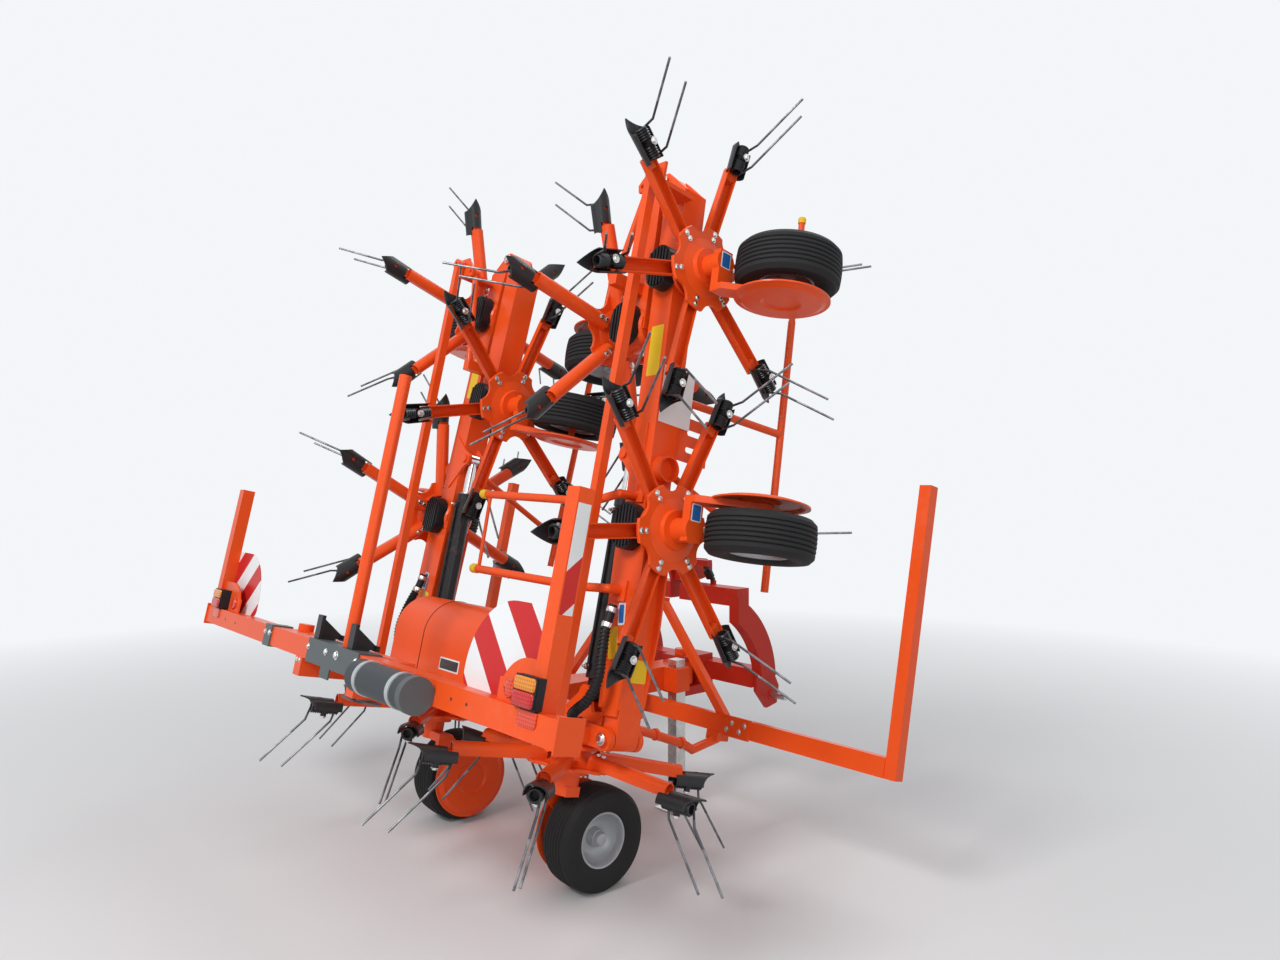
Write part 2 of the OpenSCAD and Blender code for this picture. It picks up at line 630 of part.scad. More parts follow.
// Tube guard ahead of a wing's rotors, with its struts
module wing_guard(s) {
  color(red) folded(s) {
    rod_between([rotor_u[1] - 140, 690, clamp_n + 140], [rotor_u[2] + 40, 690, clamp_n + 140], 17);
    // struts, each on a flange that seats on the main tube's front
    for (g = [[560, 560, 17], [260, 20, 15]]) {
      translate([rotor_u[1] + g[0] - 40, beam / 2 + 0.3, beam_n - 45]) cube([80, 10, 90]);
      rod_between([rotor_u[1] + g[0], beam / 2 + 6, beam_n], [rotor_u[1] + g[1], 688, clamp_n + 141], g[2]);
    }
  }
}

// Fold cylinder: barrel on the centre frame, rod to the wing
module at_cylinder(s) {
  leaned() on_side(s) translate([cyl_foot[0], cyl_y, cyl_foot[1]]) rotate([0, cyl_angle, 0]) children();
}

module cylinder_barrel(s) {
  color(black) at_cylinder(s) {
    difference() {
      union() {
        rotate([-90, 0, 0]) translate([0, 0, -24]) cylinder(r = 30, h = 48);
        translate([-18, -18, 0]) cube([36, 36, 62]);
        translate([0, 0, 60]) cylinder(r = 38, h = 710);
        translate([0, 0, 735]) cylinder(r = 42, h = 35);
        // oil pipe on the rear, between two ports
        for (z = [90, 700]) translate([-12, -52, z]) cube([24, 34, 24]);
        translate([0, -46, 100]) cylinder(r = 6, h = 612);
        translate([0, -46, 400]) rotate([-90, 0, 0]) cylinder(r = 8, h = 12);
      }
      rotate([-90, 0, 0]) translate([0, 0, -60]) cylinder(r = 15.05, h = 120);
      translate([0, 0, 75]) cylinder(r = 22.58, h = 800);
    }
  }
}

module cylinder_rod(s) {
  color([0.8, 0.8, 0.82]) at_cylinder(s) {
    difference() {
      union() {
        translate([0, 0, 82]) cylinder(r = 22.5, h = cyl_len - 104);
        translate([0, 0, cyl_len]) rotate([-90, 0, 0]) translate([0, 0, -22]) cylinder(r = 27, h = 44);
      }
      translate([0, 0, cyl_len]) rotate([-90, 0, 0]) translate([0, 0, -60]) cylinder(r = 12, h = 120);
    }
  }
}

// Long square rod of the fold linkage, on its foot pin
module fold_rod(s) {
  head = s > 0 ? rod_head_r : rod_head_l;
  color(red) leaned() on_side(s) difference() {
    union() {
      translate([rod_foot[0] - 18, -272, rod_foot[1]]) cube([36, 36, head[1] - rod_foot[1]]);
      for (p = [rod_foot, head]) translate([p[0], -272, p[1]]) rotate([-90, 0, 0]) cylinder(r = 26, h = 36);
    }
    translate([rod_foot[0], -300, rod_foot[1]]) rotate([-90, 0, 0]) cylinder(r = 12.05, h = 100);
    translate([head[0], -300, head[1]]) rotate([-90, 0, 0]) cylinder(r = 10, h = 50);
  }
}

// Rubber boots over the shaft's ends at the wing hinges
module boots() {
  color(black) leaned() for (s = [1, -1]) on_side(s)
    translate([hinge_x - 54.7, 0, beam_n]) rotate([0, 90, 0]) cylinder(r = 45, h = 9);
}

// Ribbed oval covers on the rear of a wing's gear housings
module oval_cover() {
  half = 65;
  difference() {
    translate([0, -70, 170]) rotate([90, 0, 0]) {
      linear_extrude(50) {
        for (u = [-25, 25]) translate([u, 0]) circle(r = half);
        translate([-25, -half]) square([50, 2 * half]);
      }
      for (o = [-45:18:45]) {
        reach = 17 + sqrt(half * half - o * o);
        translate([-reach, o - 4.5, 49]) cube([2 * reach, 9, 8]);
      }
    }
    gear_housing(0.3);
  }
}

module boots_wing(s) {
  color(black) {
    folded(s) for (i = [1, 2]) translate([rotor_u[i], 0, clamp_n]) oval_cover();
    folded_tip(s) translate([rotor_u[3], 0, clamp_n]) oval_cover();
  }
}

// Bows behind a folded wing, with capped ends
module hoops(s) {
  color(red) leaned() on_side(s) {
    // upper bow, on a flange behind the main tube
    translate([672, -70, 1544]) cube([96, 9.7, 42]);
    upper = [[722, -68, 1565], [716, -140, 1562], [600, -176, 1520], [-70, -252, 1526]];
    // lower bow, on the side plate
    translate([700, -78, 1160]) cube([70, 9.7, 80]);
    lower = [[735, -72, 1200], [730, -130, 1200], [600, -176, 1190], [-50, -244, 1202]];
    for (path = [upper, lower]) {
      for (k = [0:2]) rod_between(path[k], path[k + 1], 17);
      for (k = [1, 2]) translate(path[k]) sphere(r = 17.3, $fn = 24);
    }
    rod_between([-20, -246, 1526], [-14, -240, 1202], 8);
  }
}

// Swing damper between the mast head's arm and the cross member
module damper() {
  foot = [200, 1088, 1116];
  top = [200, 1044, 1186];
  translate([shift_x, shift_y, 0]) {
    color(black) rod_between(top + 0.2 * (foot - top), foot + 0.35 * (top - foot), 22);
    color(black) translate(top - [10, 10, 4]) cube([20, 20, 13.7]);
    color(steel) rod_between(foot + [0, 0, 14], top, 8);
    color(steel) translate(foot + [-9, -9, 7.3]) cube([18, 18, 14]);
  }
}

// Round tube through points, with flat ends, as one mesh
module hose(points, r, sides) {
  last = len(points) - 1;
  function along(k) = points[min(k + 1, last)] - points[max(k - 1, 0)];
  rings = [for (k = [0:last])
    let (t = along(k) / norm(along(k)), a = cross(t, [0, 1, 0.2]), b = a / norm(a), c = cross(t, b))
      for (j = [0:sides - 1]) points[k] + r * (cos(360 * j / sides) * b + sin(360 * j / sides) * c)];
  polyhedron(points = rings, faces = concat(
    [[for (j = [0:sides - 1]) j]],
    [for (k = [0:last - 1], j = [0:sides - 1]) let (q = (j + 1) % sides)
      [k * sides + j, (k + 1) * sides + j, (k + 1) * sides + q, k * sides + q]],
    [[for (j = [0:sides - 1]) (last + 1) * sides - 1 - j]]));
}

// Smooth way through hand-set points
function smooth(p, steps) = [for (k = [0:len(p) - 2], t = [0:steps - 1])
  let (f = t / steps, a = p[max(k - 1, 0)], b = p[k], c = p[k + 1], d = p[min(k + 2, len(p) - 1)])
    0.5 * (2 * b + (c - a) * f + (2 * a - 5 * b + 4 * c - d) * f * f + (3 * b - a - 3 * c + d) * f * f * f), p[len(p) - 1]];

// Hose bundles that rise from the main tube to the wings
module hoses() {
  run = [[622, -62.1, 690], [622, -88, 692], [640, -125, 715], [690, -145, 745], [750, -152, 790],
    [782, -148, 870], [768, -138, 960], [746, -122, 1040], [738, -108, 1090], [736, -97, 1145]];
  color(black) leaned() for (s = [1, -1]) on_side(s) {
    hose(smooth(run, 3), 17, 12);
    translate([741, -114, 1060]) rotate([-15, 0, 0]) cylinder(r = 22, h = 14);
  }
}

// Short rods that hold the outermost sections to the levers
module levers(s) {
  head = s > 0 ? rod_head_r : rod_head_l;
  pin = [head[0] - 80, head[1] - 38];
  lug = tip_point(s, rotor_u[3] - 155, beam_n);
  color(red) leaned() on_side(s) {
    rod_between([pin[0], -197, pin[1]], [lug[0], -190, lug[1]], 15);
    translate([pin[0], -215.7, pin[1]]) rotate([-90, 0, 0]) cylinder(r = 22, h = 34);
    translate([lug[0] - 24, -206, lug[1] - 24]) cube([48, 145.7, 48]);
  }
}

centre_frame();
centre_gearbox();
hood();
headstock();
parking_leg();
rear_bar();
warning_panels();
lamps();
canister();
front_bar();
wing(1);  // wing_r
wing(-1);  // wing_l
tip(1);  // tip_r
tip(-1);  // tip_l
wing_guard(1);  // guard_r
wing_guard(-1);  // guard_l
cylinder_barrel(1);  // cylinder_r
cylinder_barrel(-1);  // cylinder_l
cylinder_rod(1);  // piston_r
cylinder_rod(-1);  // piston_l
fold_rod(1);  // fold_rod_r
fold_rod(-1);  // fold_rod_l
boots();
boots_wing(1);  // boots_r
boots_wing(-1);  // boots_l
hoops(1);  // hoops_r
stays();
lamp_housings();
rests();
clamps();
hoses();
damper();
levers(1);  // levers_r
levers(-1);  // levers_l
rotor(-1, 0);  // rotor_c1
rotor(1, 0);  // rotor_c2
rotor(1, 1);  // rotor_r1
rotor(1, 2);  // rotor_r2
rotor(1, 3);  // rotor_r3
rotor(-1, 1);  // rotor_l1
rotor(-1, 2);  // rotor_l2
rotor(-1, 3);  // rotor_l3
tines(-1, 0);  // tines_c1
tines(1, 0);  // tines_c2
tines(1, 1);  // tines_r1
tines(1, 2);  // tines_r2
tines(1, 3);  // tines_r3
tines(-1, 1);  // tines_l1
tines(-1, 2);  // tines_l2
tines(-1, 3);  // tines_l3
wheel(-1, 0);  // wheel_c1
wheel(1, 0);  // wheel_c2
wheel(1, 1);  // wheel_r1
wheel(1, 2);  // wheel_r2
wheel(1, 3);  // wheel_r3
wheel(-1, 1);  // wheel_l1
wheel(-1, 2);  // wheel_l2
wheel(-1, 3);  // wheel_l3
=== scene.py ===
"""Folded hay tedder: finishes, tyres, hoses, small fittings and the studio stage.

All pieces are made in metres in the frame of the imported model. X points to the machine's right,
Y forward to the hitch, Z up. The rotors and wings lean forward by LEAN about a line at PIVOT_Z.
"""

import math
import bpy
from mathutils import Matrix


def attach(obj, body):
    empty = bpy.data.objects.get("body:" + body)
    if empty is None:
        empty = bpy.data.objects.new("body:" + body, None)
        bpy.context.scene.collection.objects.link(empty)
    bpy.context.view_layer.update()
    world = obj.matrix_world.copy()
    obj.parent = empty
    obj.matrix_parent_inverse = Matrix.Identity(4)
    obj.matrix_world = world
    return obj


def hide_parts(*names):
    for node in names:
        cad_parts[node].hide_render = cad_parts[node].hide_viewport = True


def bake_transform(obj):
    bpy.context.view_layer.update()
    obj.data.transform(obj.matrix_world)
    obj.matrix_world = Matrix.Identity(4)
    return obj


bl_info = {
    "name": "Folded Hay Tedder",
    "version": (1, 0, 0),
    "blender": (4, 5, 0),
    "location": "3D View > Sidebar > Hay Tedder",
    "description": "Finishes and fine pieces of a folded eight-rotor hay tedder",
    "category": "Add Mesh",
}

import bmesh
import bpy
import numpy as np

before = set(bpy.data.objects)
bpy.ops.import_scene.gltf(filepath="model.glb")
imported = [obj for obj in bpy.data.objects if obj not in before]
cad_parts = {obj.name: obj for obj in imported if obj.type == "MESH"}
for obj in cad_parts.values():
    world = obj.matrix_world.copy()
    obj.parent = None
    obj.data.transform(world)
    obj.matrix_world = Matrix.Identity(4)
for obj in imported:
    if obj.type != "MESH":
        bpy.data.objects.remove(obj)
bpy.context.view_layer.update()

# Sizes shared with the part's source, in metres, and its angles. A name with N is a height before the lean.
PITCH, CLAMP_R, CLAMP_N = 1.053, 0.521, 0.485
LEAN, FOLD, PIVOT_Z = math.radians(12.67), math.radians(93.3), 0.7
SHIFT_Y = -0.21338
HINGE = np.array([0.790, 0.0, 0.656])
TIP_HINGE = {
    1: np.array([PITCH * 2.5 + 0.426, 0.0, 0.750]),
    -1: np.array([PITCH * 2.5 + 0.294, 0.0, 0.750]),
}
# Wheels: how far the axle stands in front of the rotor's middle, and below its clamp plane
TYRE_R, TYRE_W, WHEEL_LEAD = 0.2055, 0.160, 0.180
CLAMP_Z = PIVOT_Z + (CLAMP_N - PIVOT_Z) * math.cos(LEAN)
WHEEL_DROP = (CLAMP_Z - WHEEL_LEAD * math.sin(LEAN) - TYRE_R) / math.cos(LEAN)
# Square main tube: its middle, and half its width
BEAM_N, BEAM_HALF = 0.675, 0.060
# Rear bar: half its length and its width, how far back it lies, and its lower edge
REAR_HALF, BAR_HALF, REAR_BACK, REAR_LOW = 1.470, 0.040, 0.794, BEAM_N + 0.063
# Sides of the machine, with the letter in their bodies' names
SIDES = ((1, "r"), (-1, "l"))
# Each rotor's side, and its number outwards from the middle
ROTORS = {
    "c1": (-1, 0), "c2": (1, 0),
    "r1": (1, 1), "r2": (1, 2), "r3": (1, 3),
    "l1": (-1, 1), "l2": (-1, 2), "l3": (-1, 3),
}


# Places
def shift_by(x, y, z):
    """Matrix of a plain shift."""
    m = np.eye(4)
    m[:3, 3] = (x, y, z)
    return m


def turn(axis, angle):
    """Matrix of a right-handed turn about the X (0), Y (1) or Z (2) axis."""
    a, b = (axis + 1) % 3, (axis + 2) % 3
    m = np.eye(4)
    m[a, a] = m[b, b] = math.cos(angle)
    m[b, a], m[a, b] = math.sin(angle), -math.sin(angle)
    return m


def mirror(side):
    """Matrix that mirrors in X on the left side."""
    return np.diag([float(side), 1.0, 1.0, 1.0])


# Turns that point a turned form's X, and then a plate's face, to the side that they name
UPWARD, DOWNWARD = turn(1, -math.pi / 2), turn(1, math.pi / 2)
REARWARD, FORWARD = turn(2, -math.pi / 2), turn(2, math.pi / 2)
FACE_REAR = turn(0, math.pi / 2)
FACE_RIGHT = turn(2, math.pi / 2) @ turn(0, math.pi / 2)
# Place of all that leans with the rotors, drawn upright
LEANED = shift_by(0, SHIFT_Y, PIVOT_Z) @ turn(0, -LEAN) @ shift_by(0, 0, -PIVOT_Z)


def swung(hinge, angle):
    """Matrix of a turn about the line along Y through a hinge."""
    return shift_by(*hinge) @ turn(1, angle) @ shift_by(*-hinge)


def folded(side):
    """Place of a folded wing, drawn as if it lay level."""
    return LEANED @ mirror(side) @ swung(HINGE, -FOLD)


def folded_tip(side):
    """Place of a wing's outermost section, turned half round its own hinge."""
    return folded(side) @ swung(TIP_HINGE[side], -math.pi)


def arm_angle(side, i, k):
    """Angle of a rotor's arm k: neighbours stand alternately."""
    first = ((11, 19) if side > 0 else (161, 169))[i % 2]
    return math.radians(first + 60 * k)


def leg_side(side, i):
    """Side of the wheel on which its leg stands, along the rotor's own X."""
    return (-1, 1, -1, -side)[i]


def at_rotor(side, i):
    """Place of a rotor's clamp plane: 0 is a centre rotor, 1 and 2 a wing's, 3 the outermost section's."""
    if i == 0:
        base = LEANED @ mirror(side)
    else:
        base = folded(side) if i < 3 else folded_tip(side)
    return base @ shift_by(PITCH * (i + 0.5), 0, CLAMP_N)


def on_bar(side, x, out, up):
    """Place at the rear bar: so far out behind its middle, and so far up from its lower edge."""
    return LEANED @ mirror(side) @ shift_by(x, -REAR_BACK - out, REAR_LOW + up)


def facing(place, direction, beside):
    """Matrix whose X runs along a direction from a place, and whose Y is square to that and to beside."""
    x = unit(np.asarray(direction, float))
    y = unit(np.cross(x, beside))
    m = np.eye(4)
    m[:3] = np.column_stack([x, y, np.cross(x, y), place])
    return m


def moved_point(matrix, place):
    """A point moved by a matrix, as three plain numbers."""
    return tuple(float(v) for v in matrix[:3, :3] @ place + matrix[:3, 3])


# Surfaces
def unit(v):
    """Vectors made one long, along the last direction of their array."""
    return v / np.linalg.norm(v, axis=-1, keepdims=True)


def grid(points):
    """Quads over a grid of points (ring, place in the ring, 3), from ring to ring; each ring is closed."""
    rings, around = points.shape[:2]
    row, place = np.arange(rings - 1)[:, None] * around, np.arange(around)[None, :]
    after = (place + 1) % around
    quads = np.stack([row + place, row + after, row + around + after, row + around + place], -1)
    return points.reshape(-1, 3), quads.reshape(-1, 4)


def lathe(profile, segments=48):
    """Turned form about X: each (along, radius) of the profile is carried once round the axis."""
    p = np.asarray(profile, float)
    t = np.linspace(0, 2 * np.pi, segments, endpoint=False)
    along = np.repeat(p[:, :1], segments, axis=1)
    return grid(np.stack([along, p[:, 1:] * np.cos(t), p[:, 1:] * np.sin(t)], -1))


def bend(path, count):
    """Smooth path through given points: a cubic spline between each pair, leaving each point along the
    line from the one before it to the one after it."""
    p = np.asarray(path, float)
    p = np.vstack([2 * p[0] - p[1], p, 2 * p[-1] - p[-2]])
    s = np.linspace(0, len(p) - 3 - 1e-9, count)
    k = s.astype(int)
    f = (s - k)[:, None]
    a, b, c, d = p[k], p[k + 1], p[k + 2], p[k + 3]
    return 0.5 * (2 * b + (c - a) * f + (2 * a - 5 * b + 4 * c - d) * f ** 2
                  + (3 * b - a - 3 * c + d) * f ** 3)


def sweep(path, radius, sides=10):
    """Round tube: a circle carried along the path, with a ring of no size at each end to close it."""
    p = np.asarray(path, float)
    tan = unit(np.gradient(p, axis=0))
    n1 = unit(np.cross(tan, [0.31, 0.17, 0.93]))
    n2 = np.cross(tan, n1)
    p, n1, n2 = (np.pad(rows, ((1, 1), (0, 0)), "edge")[:, None] for rows in (p, n1, n2))
    r = np.pad(np.full(len(tan), radius), 1)[:, None, None]
    t = np.linspace(0, 2 * np.pi, sides, endpoint=False)[None, :, None]
    return grid(p + r * (np.cos(t) * n1 + np.sin(t) * n2))


def slab(outline, low, high):
    """Flat plate: an (x, y) outline carried from one height to the other, closed by fans to its middle."""
    o = np.asarray(outline, float)
    mid = np.broadcast_to(o.mean(axis=0), o.shape)
    rings = ((mid, low), (o, low), (o, high), (mid, high))
    return grid(np.stack([np.column_stack([r, np.full(len(o), z)]) for r, z in rings]))


def rounded(width, height, corner, count=5):
    """Outline of a rectangle whose corners are quarter circles of the given radius."""
    t = np.linspace(0, np.pi / 2, count)
    arc = np.column_stack([np.cos(t), np.sin(t)]) * corner
    mid = np.array([width / 2 - corner, height / 2 - corner])
    return np.vstack([
        arc + mid,
        arc @ [[0, 1], [-1, 0]] + mid * (-1, 1),
        -arc - mid,
        arc @ [[0, -1], [1, 0]] + mid * (1, -1),
    ])


def plate(width, height, corner, rings):
    """Rounded plate in the xy plane: each ring (inset, lift) is the outline drawn in, at that height.

    An inset past the middle leaves a sliver, and the corners shrink by 0.4 of the inset."""
    sliver, least_corner = 2e-5, 1e-6
    out = []
    for inset, lift in rings:
        w, h = (max(size - 2 * inset, sliver) for size in (width, height))
        r = min(corner, width / 2 - inset, height / 2 - inset) - inset * 0.4
        o = rounded(w, h, max(r, least_corner))
        out.append(np.column_stack([o, np.full(len(o), lift)]))
    first, last = out[0].copy(), out[-1].copy()
    first[:, :2], last[:, :2] = first[:, :2].mean(axis=0), last[:, :2].mean(axis=0)
    return grid(np.stack([first] + out + [last]))


def placed(matrix, shape):
    """A shape moved to its place by a matrix."""
    v, f = shape
    return v @ matrix[:3, :3].T + matrix[:3, 3], f


def joined(shapes):
    """Several shapes as one list of points and quads."""
    verts, faces, start = [], [], 0
    for v, f in shapes:
        verts.append(v)
        faces.append(f + start)
        start += len(v)
    return np.vstack(verts), np.vstack(faces)


# Fittings: a piece is a list of (shape, material number) pairs
SHEET = [(0, -0.0004), (0, 0.0006), (0.0006, 0.0008)]  # rings of a thin plate that lies on a face


def put(shapes, at, shape, k=0):
    """Add a shape at its place to a piece, in the piece's material k."""
    shapes.append((placed(at, shape), k))


def put_bolt(shapes, at, r):
    """Hex head on a washer: profiles turned about +X, off the face, with twelve and with six sides."""
    washer = [(-0.001, 0), (-0.001, r * 1.4), (0.0016, r * 1.4), (0.002, r * 1.2), (0.002, 0)]
    head = [(0.0018, 0), (0.0018, r), (r * 0.60, r), (r * 0.72, r * 0.84), (r * 0.72, 0)]
    put(shapes, at, lathe(washer, 12))
    put(shapes, at, lathe(head, 6))


def put_pin_heads(shapes, at, reach):
    """Turned heads on both ends of a pin that lies along Y and reaches so far to either side."""
    head = lathe([(-0.001, 0), (-0.001, 0.024), (0.003, 0.024), (0.0045, 0.022),
                  (0.0045, 0.0165), (0.009, 0.016), (0.010, 0.0145), (0.010, 0)], 24)
    put(shapes, at @ shift_by(0, -reach, 0) @ REARWARD, head)
    put(shapes, at @ shift_by(0, reach, 0) @ FORWARD, head)


def put_edged(shapes, at, outer, inner, k, lift=0.0006):
    """Blank plate on a slightly larger pale one: outer and inner are (width, height, corner)."""
    put(shapes, at, plate(*outer, SHEET), k)
    put(shapes, at @ shift_by(0, 0, lift), plate(*inner, SHEET), k + 1)


def cup(r, deep, out):
    """Plastic cap over a tube's end, turned about +X: deep down the tube, a little out, its rim rounded."""
    return lathe([(-deep, r), (-deep, r + 0.003), (0, r + 0.0035),
                  (out * 0.7, r + 0.001), (out, r * 0.7), (out, 0)], 20)


def piece(name, shapes, body, materials, replaces=(), smooth=True, across=None):
    """One object from (shape, material number) pairs, merged at its seams and poles, with its faces outwards.

    across is (second body, start, end) for a piece that lies over the joint between the two bodies; such a
    piece is baked where it lies and hung on no body."""
    verts, faces = joined([s for s, _ in shapes])
    slots = np.concatenate([np.full(len(s[1]), k) for s, k in shapes])
    mesh = bpy.data.meshes.new(name)
    mesh.from_pydata(verts.tolist(), [], faces.tolist())
    for m in materials:
        mesh.materials.append(FINISHES[m])
    mesh.polygons.foreach_set("material_index", slots.astype(np.int32))
    bm = bmesh.new()
    bm.from_mesh(mesh)
    bmesh.ops.remove_doubles(bm, verts=bm.verts, dist=1e-6)
    bmesh.ops.recalc_face_normals(bm, faces=bm.faces)
    bm.to_mesh(mesh)
    bm.free()
    if smooth:
        mesh.set_sharp_from_angle(angle=math.radians(35))
        mesh.polygons.foreach_set("use_smooth", np.ones(len(mesh.polygons), bool))
    obj = bpy.data.objects.new(name, mesh)
    bpy.context.scene.collection.objects.link(obj)
    if across:
        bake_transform(obj)
    else:
        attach(obj, body)
    if replaces:
        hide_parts(*replaces)


# Materials
class Wire:
    """An output socket, so that shader maths reads as plain expressions."""

    def __init__(self, owner, socket):
        self.owner, self.socket = owner, socket

    def maths(self, operation, *values):
        """Result of a Math node on these values."""
        return self.owner.node("ShaderNodeMath", {"operation": operation}, dict(enumerate(values)))

    def apply(self, operation, *values):
        """Result of a Math node on this socket, and on other values after it."""
        return self.maths(operation, self, *values)

    def __add__(self, other):
        return self.maths("ADD", self, other)

    def __sub__(self, other):
        return self.maths("SUBTRACT", self, other)

    def __rsub__(self, other):
        return self.maths("SUBTRACT", other, self)

    def __mul__(self, other):
        return self.maths("MULTIPLY", self, other)

    def __truediv__(self, other):
        return self.maths("DIVIDE", self, other)

    def __gt__(self, other):
        return self.maths("GREATER_THAN", self, other)

    def __lt__(self, other):
        return self.maths("LESS_THAN", self, other)

    __radd__, __rmul__ = __add__, __mul__


class Nodes:
    """A node tree, with a single method that adds a node to it."""

    def __init__(self, tree):
        self.tree = tree

    def feed(self, socket, value):
        """Give a socket its value, or a link."""
        if isinstance(value, Wire):
            self.tree.links.new(value.socket, socket)
        else:
            socket.default_value = value

    def node(self, kind, settings=None, inputs=None, out=0):
        """A new node with its settings, and then its sockets' values or links; gives one of its outputs."""
        n = self.tree.nodes.new(kind)
        for key, value in (settings or {}).items():
            setattr(n, key, value)
        for key, value in (inputs or {}).items():
            self.feed(n.inputs[key], value)
        return Wire(self, n.outputs[out])

    def seen(self):
        """1 where the camera looks, straight or by way of a glossy face."""
        rays = ("Is Camera Ray", "Is Glossy Ray")
        straight, glossy = (self.node("ShaderNodeLightPath", out=ray) for ray in rays)
        return straight.apply("MAXIMUM", glossy)

    def show(self, output, shader):
        """Link a shader to the tree's output node."""
        self.feed(self.tree.nodes[output].inputs["Surface"], shader)


FINISHES = {}  # every finish by its plain name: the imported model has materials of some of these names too


class Finish(Nodes):
    """One material, with its principled shader and the textures that its surfaces share."""

    def __init__(self, name, colour, rough, metal=0.0, coat=0.0, shine=0.5):
        self.mat = FINISHES[name] = bpy.data.materials.new("finish_" + name)
        self.mat.use_nodes = True
        super().__init__(self.mat.node_tree)
        self.shader = self.tree.nodes["Principled BSDF"]
        self.set("Base Color", (*colour, 1.0))
        self.set("Roughness", rough)
        self.set("Metallic", metal)
        self.set("Coat Weight", coat)
        self.set("Specular IOR Level", shine)

    def set(self, key, value):
        """Value or link of one of the shader's own sockets."""
        self.feed(self.shader.inputs[key], value)

    def here(self):
        """Object coordinates."""
        return self.node("ShaderNodeTexCoord", out="Object")

    def axes(self):
        """Object coordinates as three numbers."""
        split = self.node("ShaderNodeSeparateXYZ", None, {0: self.here()}).socket.node
        return [Wire(self, output) for output in split.outputs]

    def noise(self, scale, detail=3.0, rough=0.5):
        """Cloudy value of about 0.5, from 0 to 1."""
        inputs = {"Vector": self.here(), "Scale": scale, "Detail": detail, "Roughness": rough}
        return self.node("ShaderNodeTexNoise", None, inputs)

    def mix(self, factor, a, b):
        """Colour a where the factor is 0, colour b where it is 1."""
        a, b = (c if isinstance(c, Wire) else (*c, 1.0) for c in (a, b))
        return self.node("ShaderNodeMix", {"data_type": "RGBA"}, {0: factor, 6: a, 7: b}, out=2)

    def bump(self, height, strength, distance):
        """Fine relief from a height."""
        inputs = {"Height": height, "Strength": strength, "Distance": distance}
        self.set("Normal", self.node("ShaderNodeBump", None, inputs))


def shade(colour, k):
    """A colour made lighter or darker by one factor."""
    return tuple(min(1.0, c * k) for c in colour)


def near(a, low, high):
    """1 where a value lies between two limits."""
    return (a > low) * (a < high)


def hitch_pins(x, y, z):
    """1 on the lower hitch pins, outside the link plates."""
    return near(x.apply("ABSOLUTE"), 0.414, 0.7) * near(y, 1.0617, 1.0917) * near(z, 0.545, 0.575)


def input_shaft(x, y, z):
    """1 on the input shaft, in front of its gearbox."""
    return (y > -0.0006) * near(x, -0.0182, 0.0182)


def painted(name, colour, rough=0.3, bare=None):
    """Sprayed enamel: a slow drift of tone, specks of dust and the fine peel of sprayed paint.

    bare takes the point's coordinates and gives 1 where turned steel shows through instead."""
    coat, dust, steel = 0.09, (0.50, 0.36, 0.26), (0.55, 0.55, 0.54)
    f = Finish(name, colour, rough, 0.0, coat, 0.22)
    f.set("Coat Roughness", 0.12)
    broad = f.noise(2.4, 4.0)
    fine = f.noise(38.0, 5.0, 0.62)
    tone = f.mix(broad, shade(colour, 0.86), shade(colour, 1.06))
    specks = ((fine * broad) > 0.36) * 0.05
    base, gloss = f.mix(specks, tone, dust), broad * 0.16 + (rough - 0.06) + fine * 0.06
    if bare:
        shown = bare(*f.axes())
        base = f.mix(shown, base, steel)
        gloss = gloss * (1 - shown) + shown * 0.3
        f.set("Metallic", shown * 0.95)
        f.set("Coat Weight", (1 - shown) * coat)
    f.set("Base Color", base)
    f.set("Roughness", gloss)
    f.bump(f.noise(420.0, 2.0), 0.05, 0.0006)
    return f


def moulded(name, colour, rough, grain=260.0, depth=0.25):
    """Black or coloured plastic and rubber: matt, with a fine moulded grain and a little dust."""
    f = Finish(name, colour, rough, 0.0, 0.0, 0.22)
    broad = f.noise(6.0, 4.0)
    f.set("Base Color", f.mix(broad * 0.4, shade(colour, 0.85), shade([c + 0.012 for c in colour], 1.2)))
    f.set("Roughness", broad * 0.2 + (rough - 0.1))
    f.bump(f.noise(grain, 3.0), depth, 0.0008)
    return f


def bare_steel(name, colour, rough):
    """Drawn or plated steel: streaks of tone and a brushed bump."""
    f = Finish(name, colour, rough, 1.0)
    streak = f.noise(30.0, 4.0)
    f.set("Base Color", f.mix(streak, shade(colour, 0.75), shade(colour, 1.2)))
    f.set("Roughness", streak * 0.22 + (rough - 0.1))
    f.bump(f.noise(300.0, 2.0), 0.08, 0.0005)


def striped(name, red, white):
    """Warning sheet: bands at 45 degrees, mirrored on the left panel, over a reflective foil's fine mesh."""
    f = Finish(name, white, 0.32, 0.0, 0.06, 0.2)
    x, y, z = f.axes()
    # height along the leaned panel: with the distance from the middle added, it is one number along a band
    height = (z - 0.868) * 1.025 + PIVOT_Z
    start, pitch = (x > 0) * -0.170 + 2.024, 0.272
    band = ((x.apply("ABSOLUTE") + height - start) / pitch).apply("FRACT") < 0.5
    cell = ((x * 700.0).apply("SINE") * (z * 700.0).apply("SINE")) * 0.5 + 0.5
    seam = ((x * 24.0).apply("FRACT") < 0.03) * 0.10
    pale = f.mix(cell * 0.22 + seam, white, (0.62, 0.66, 0.70))
    f.set("Base Color", f.mix(band, pale, f.mix(cell * 0.3 + seam, red, shade(red, 0.6))))
    f.set("Roughness", cell * 0.08 + 0.28)
    f.bump(cell, 0.10, 0.0003)


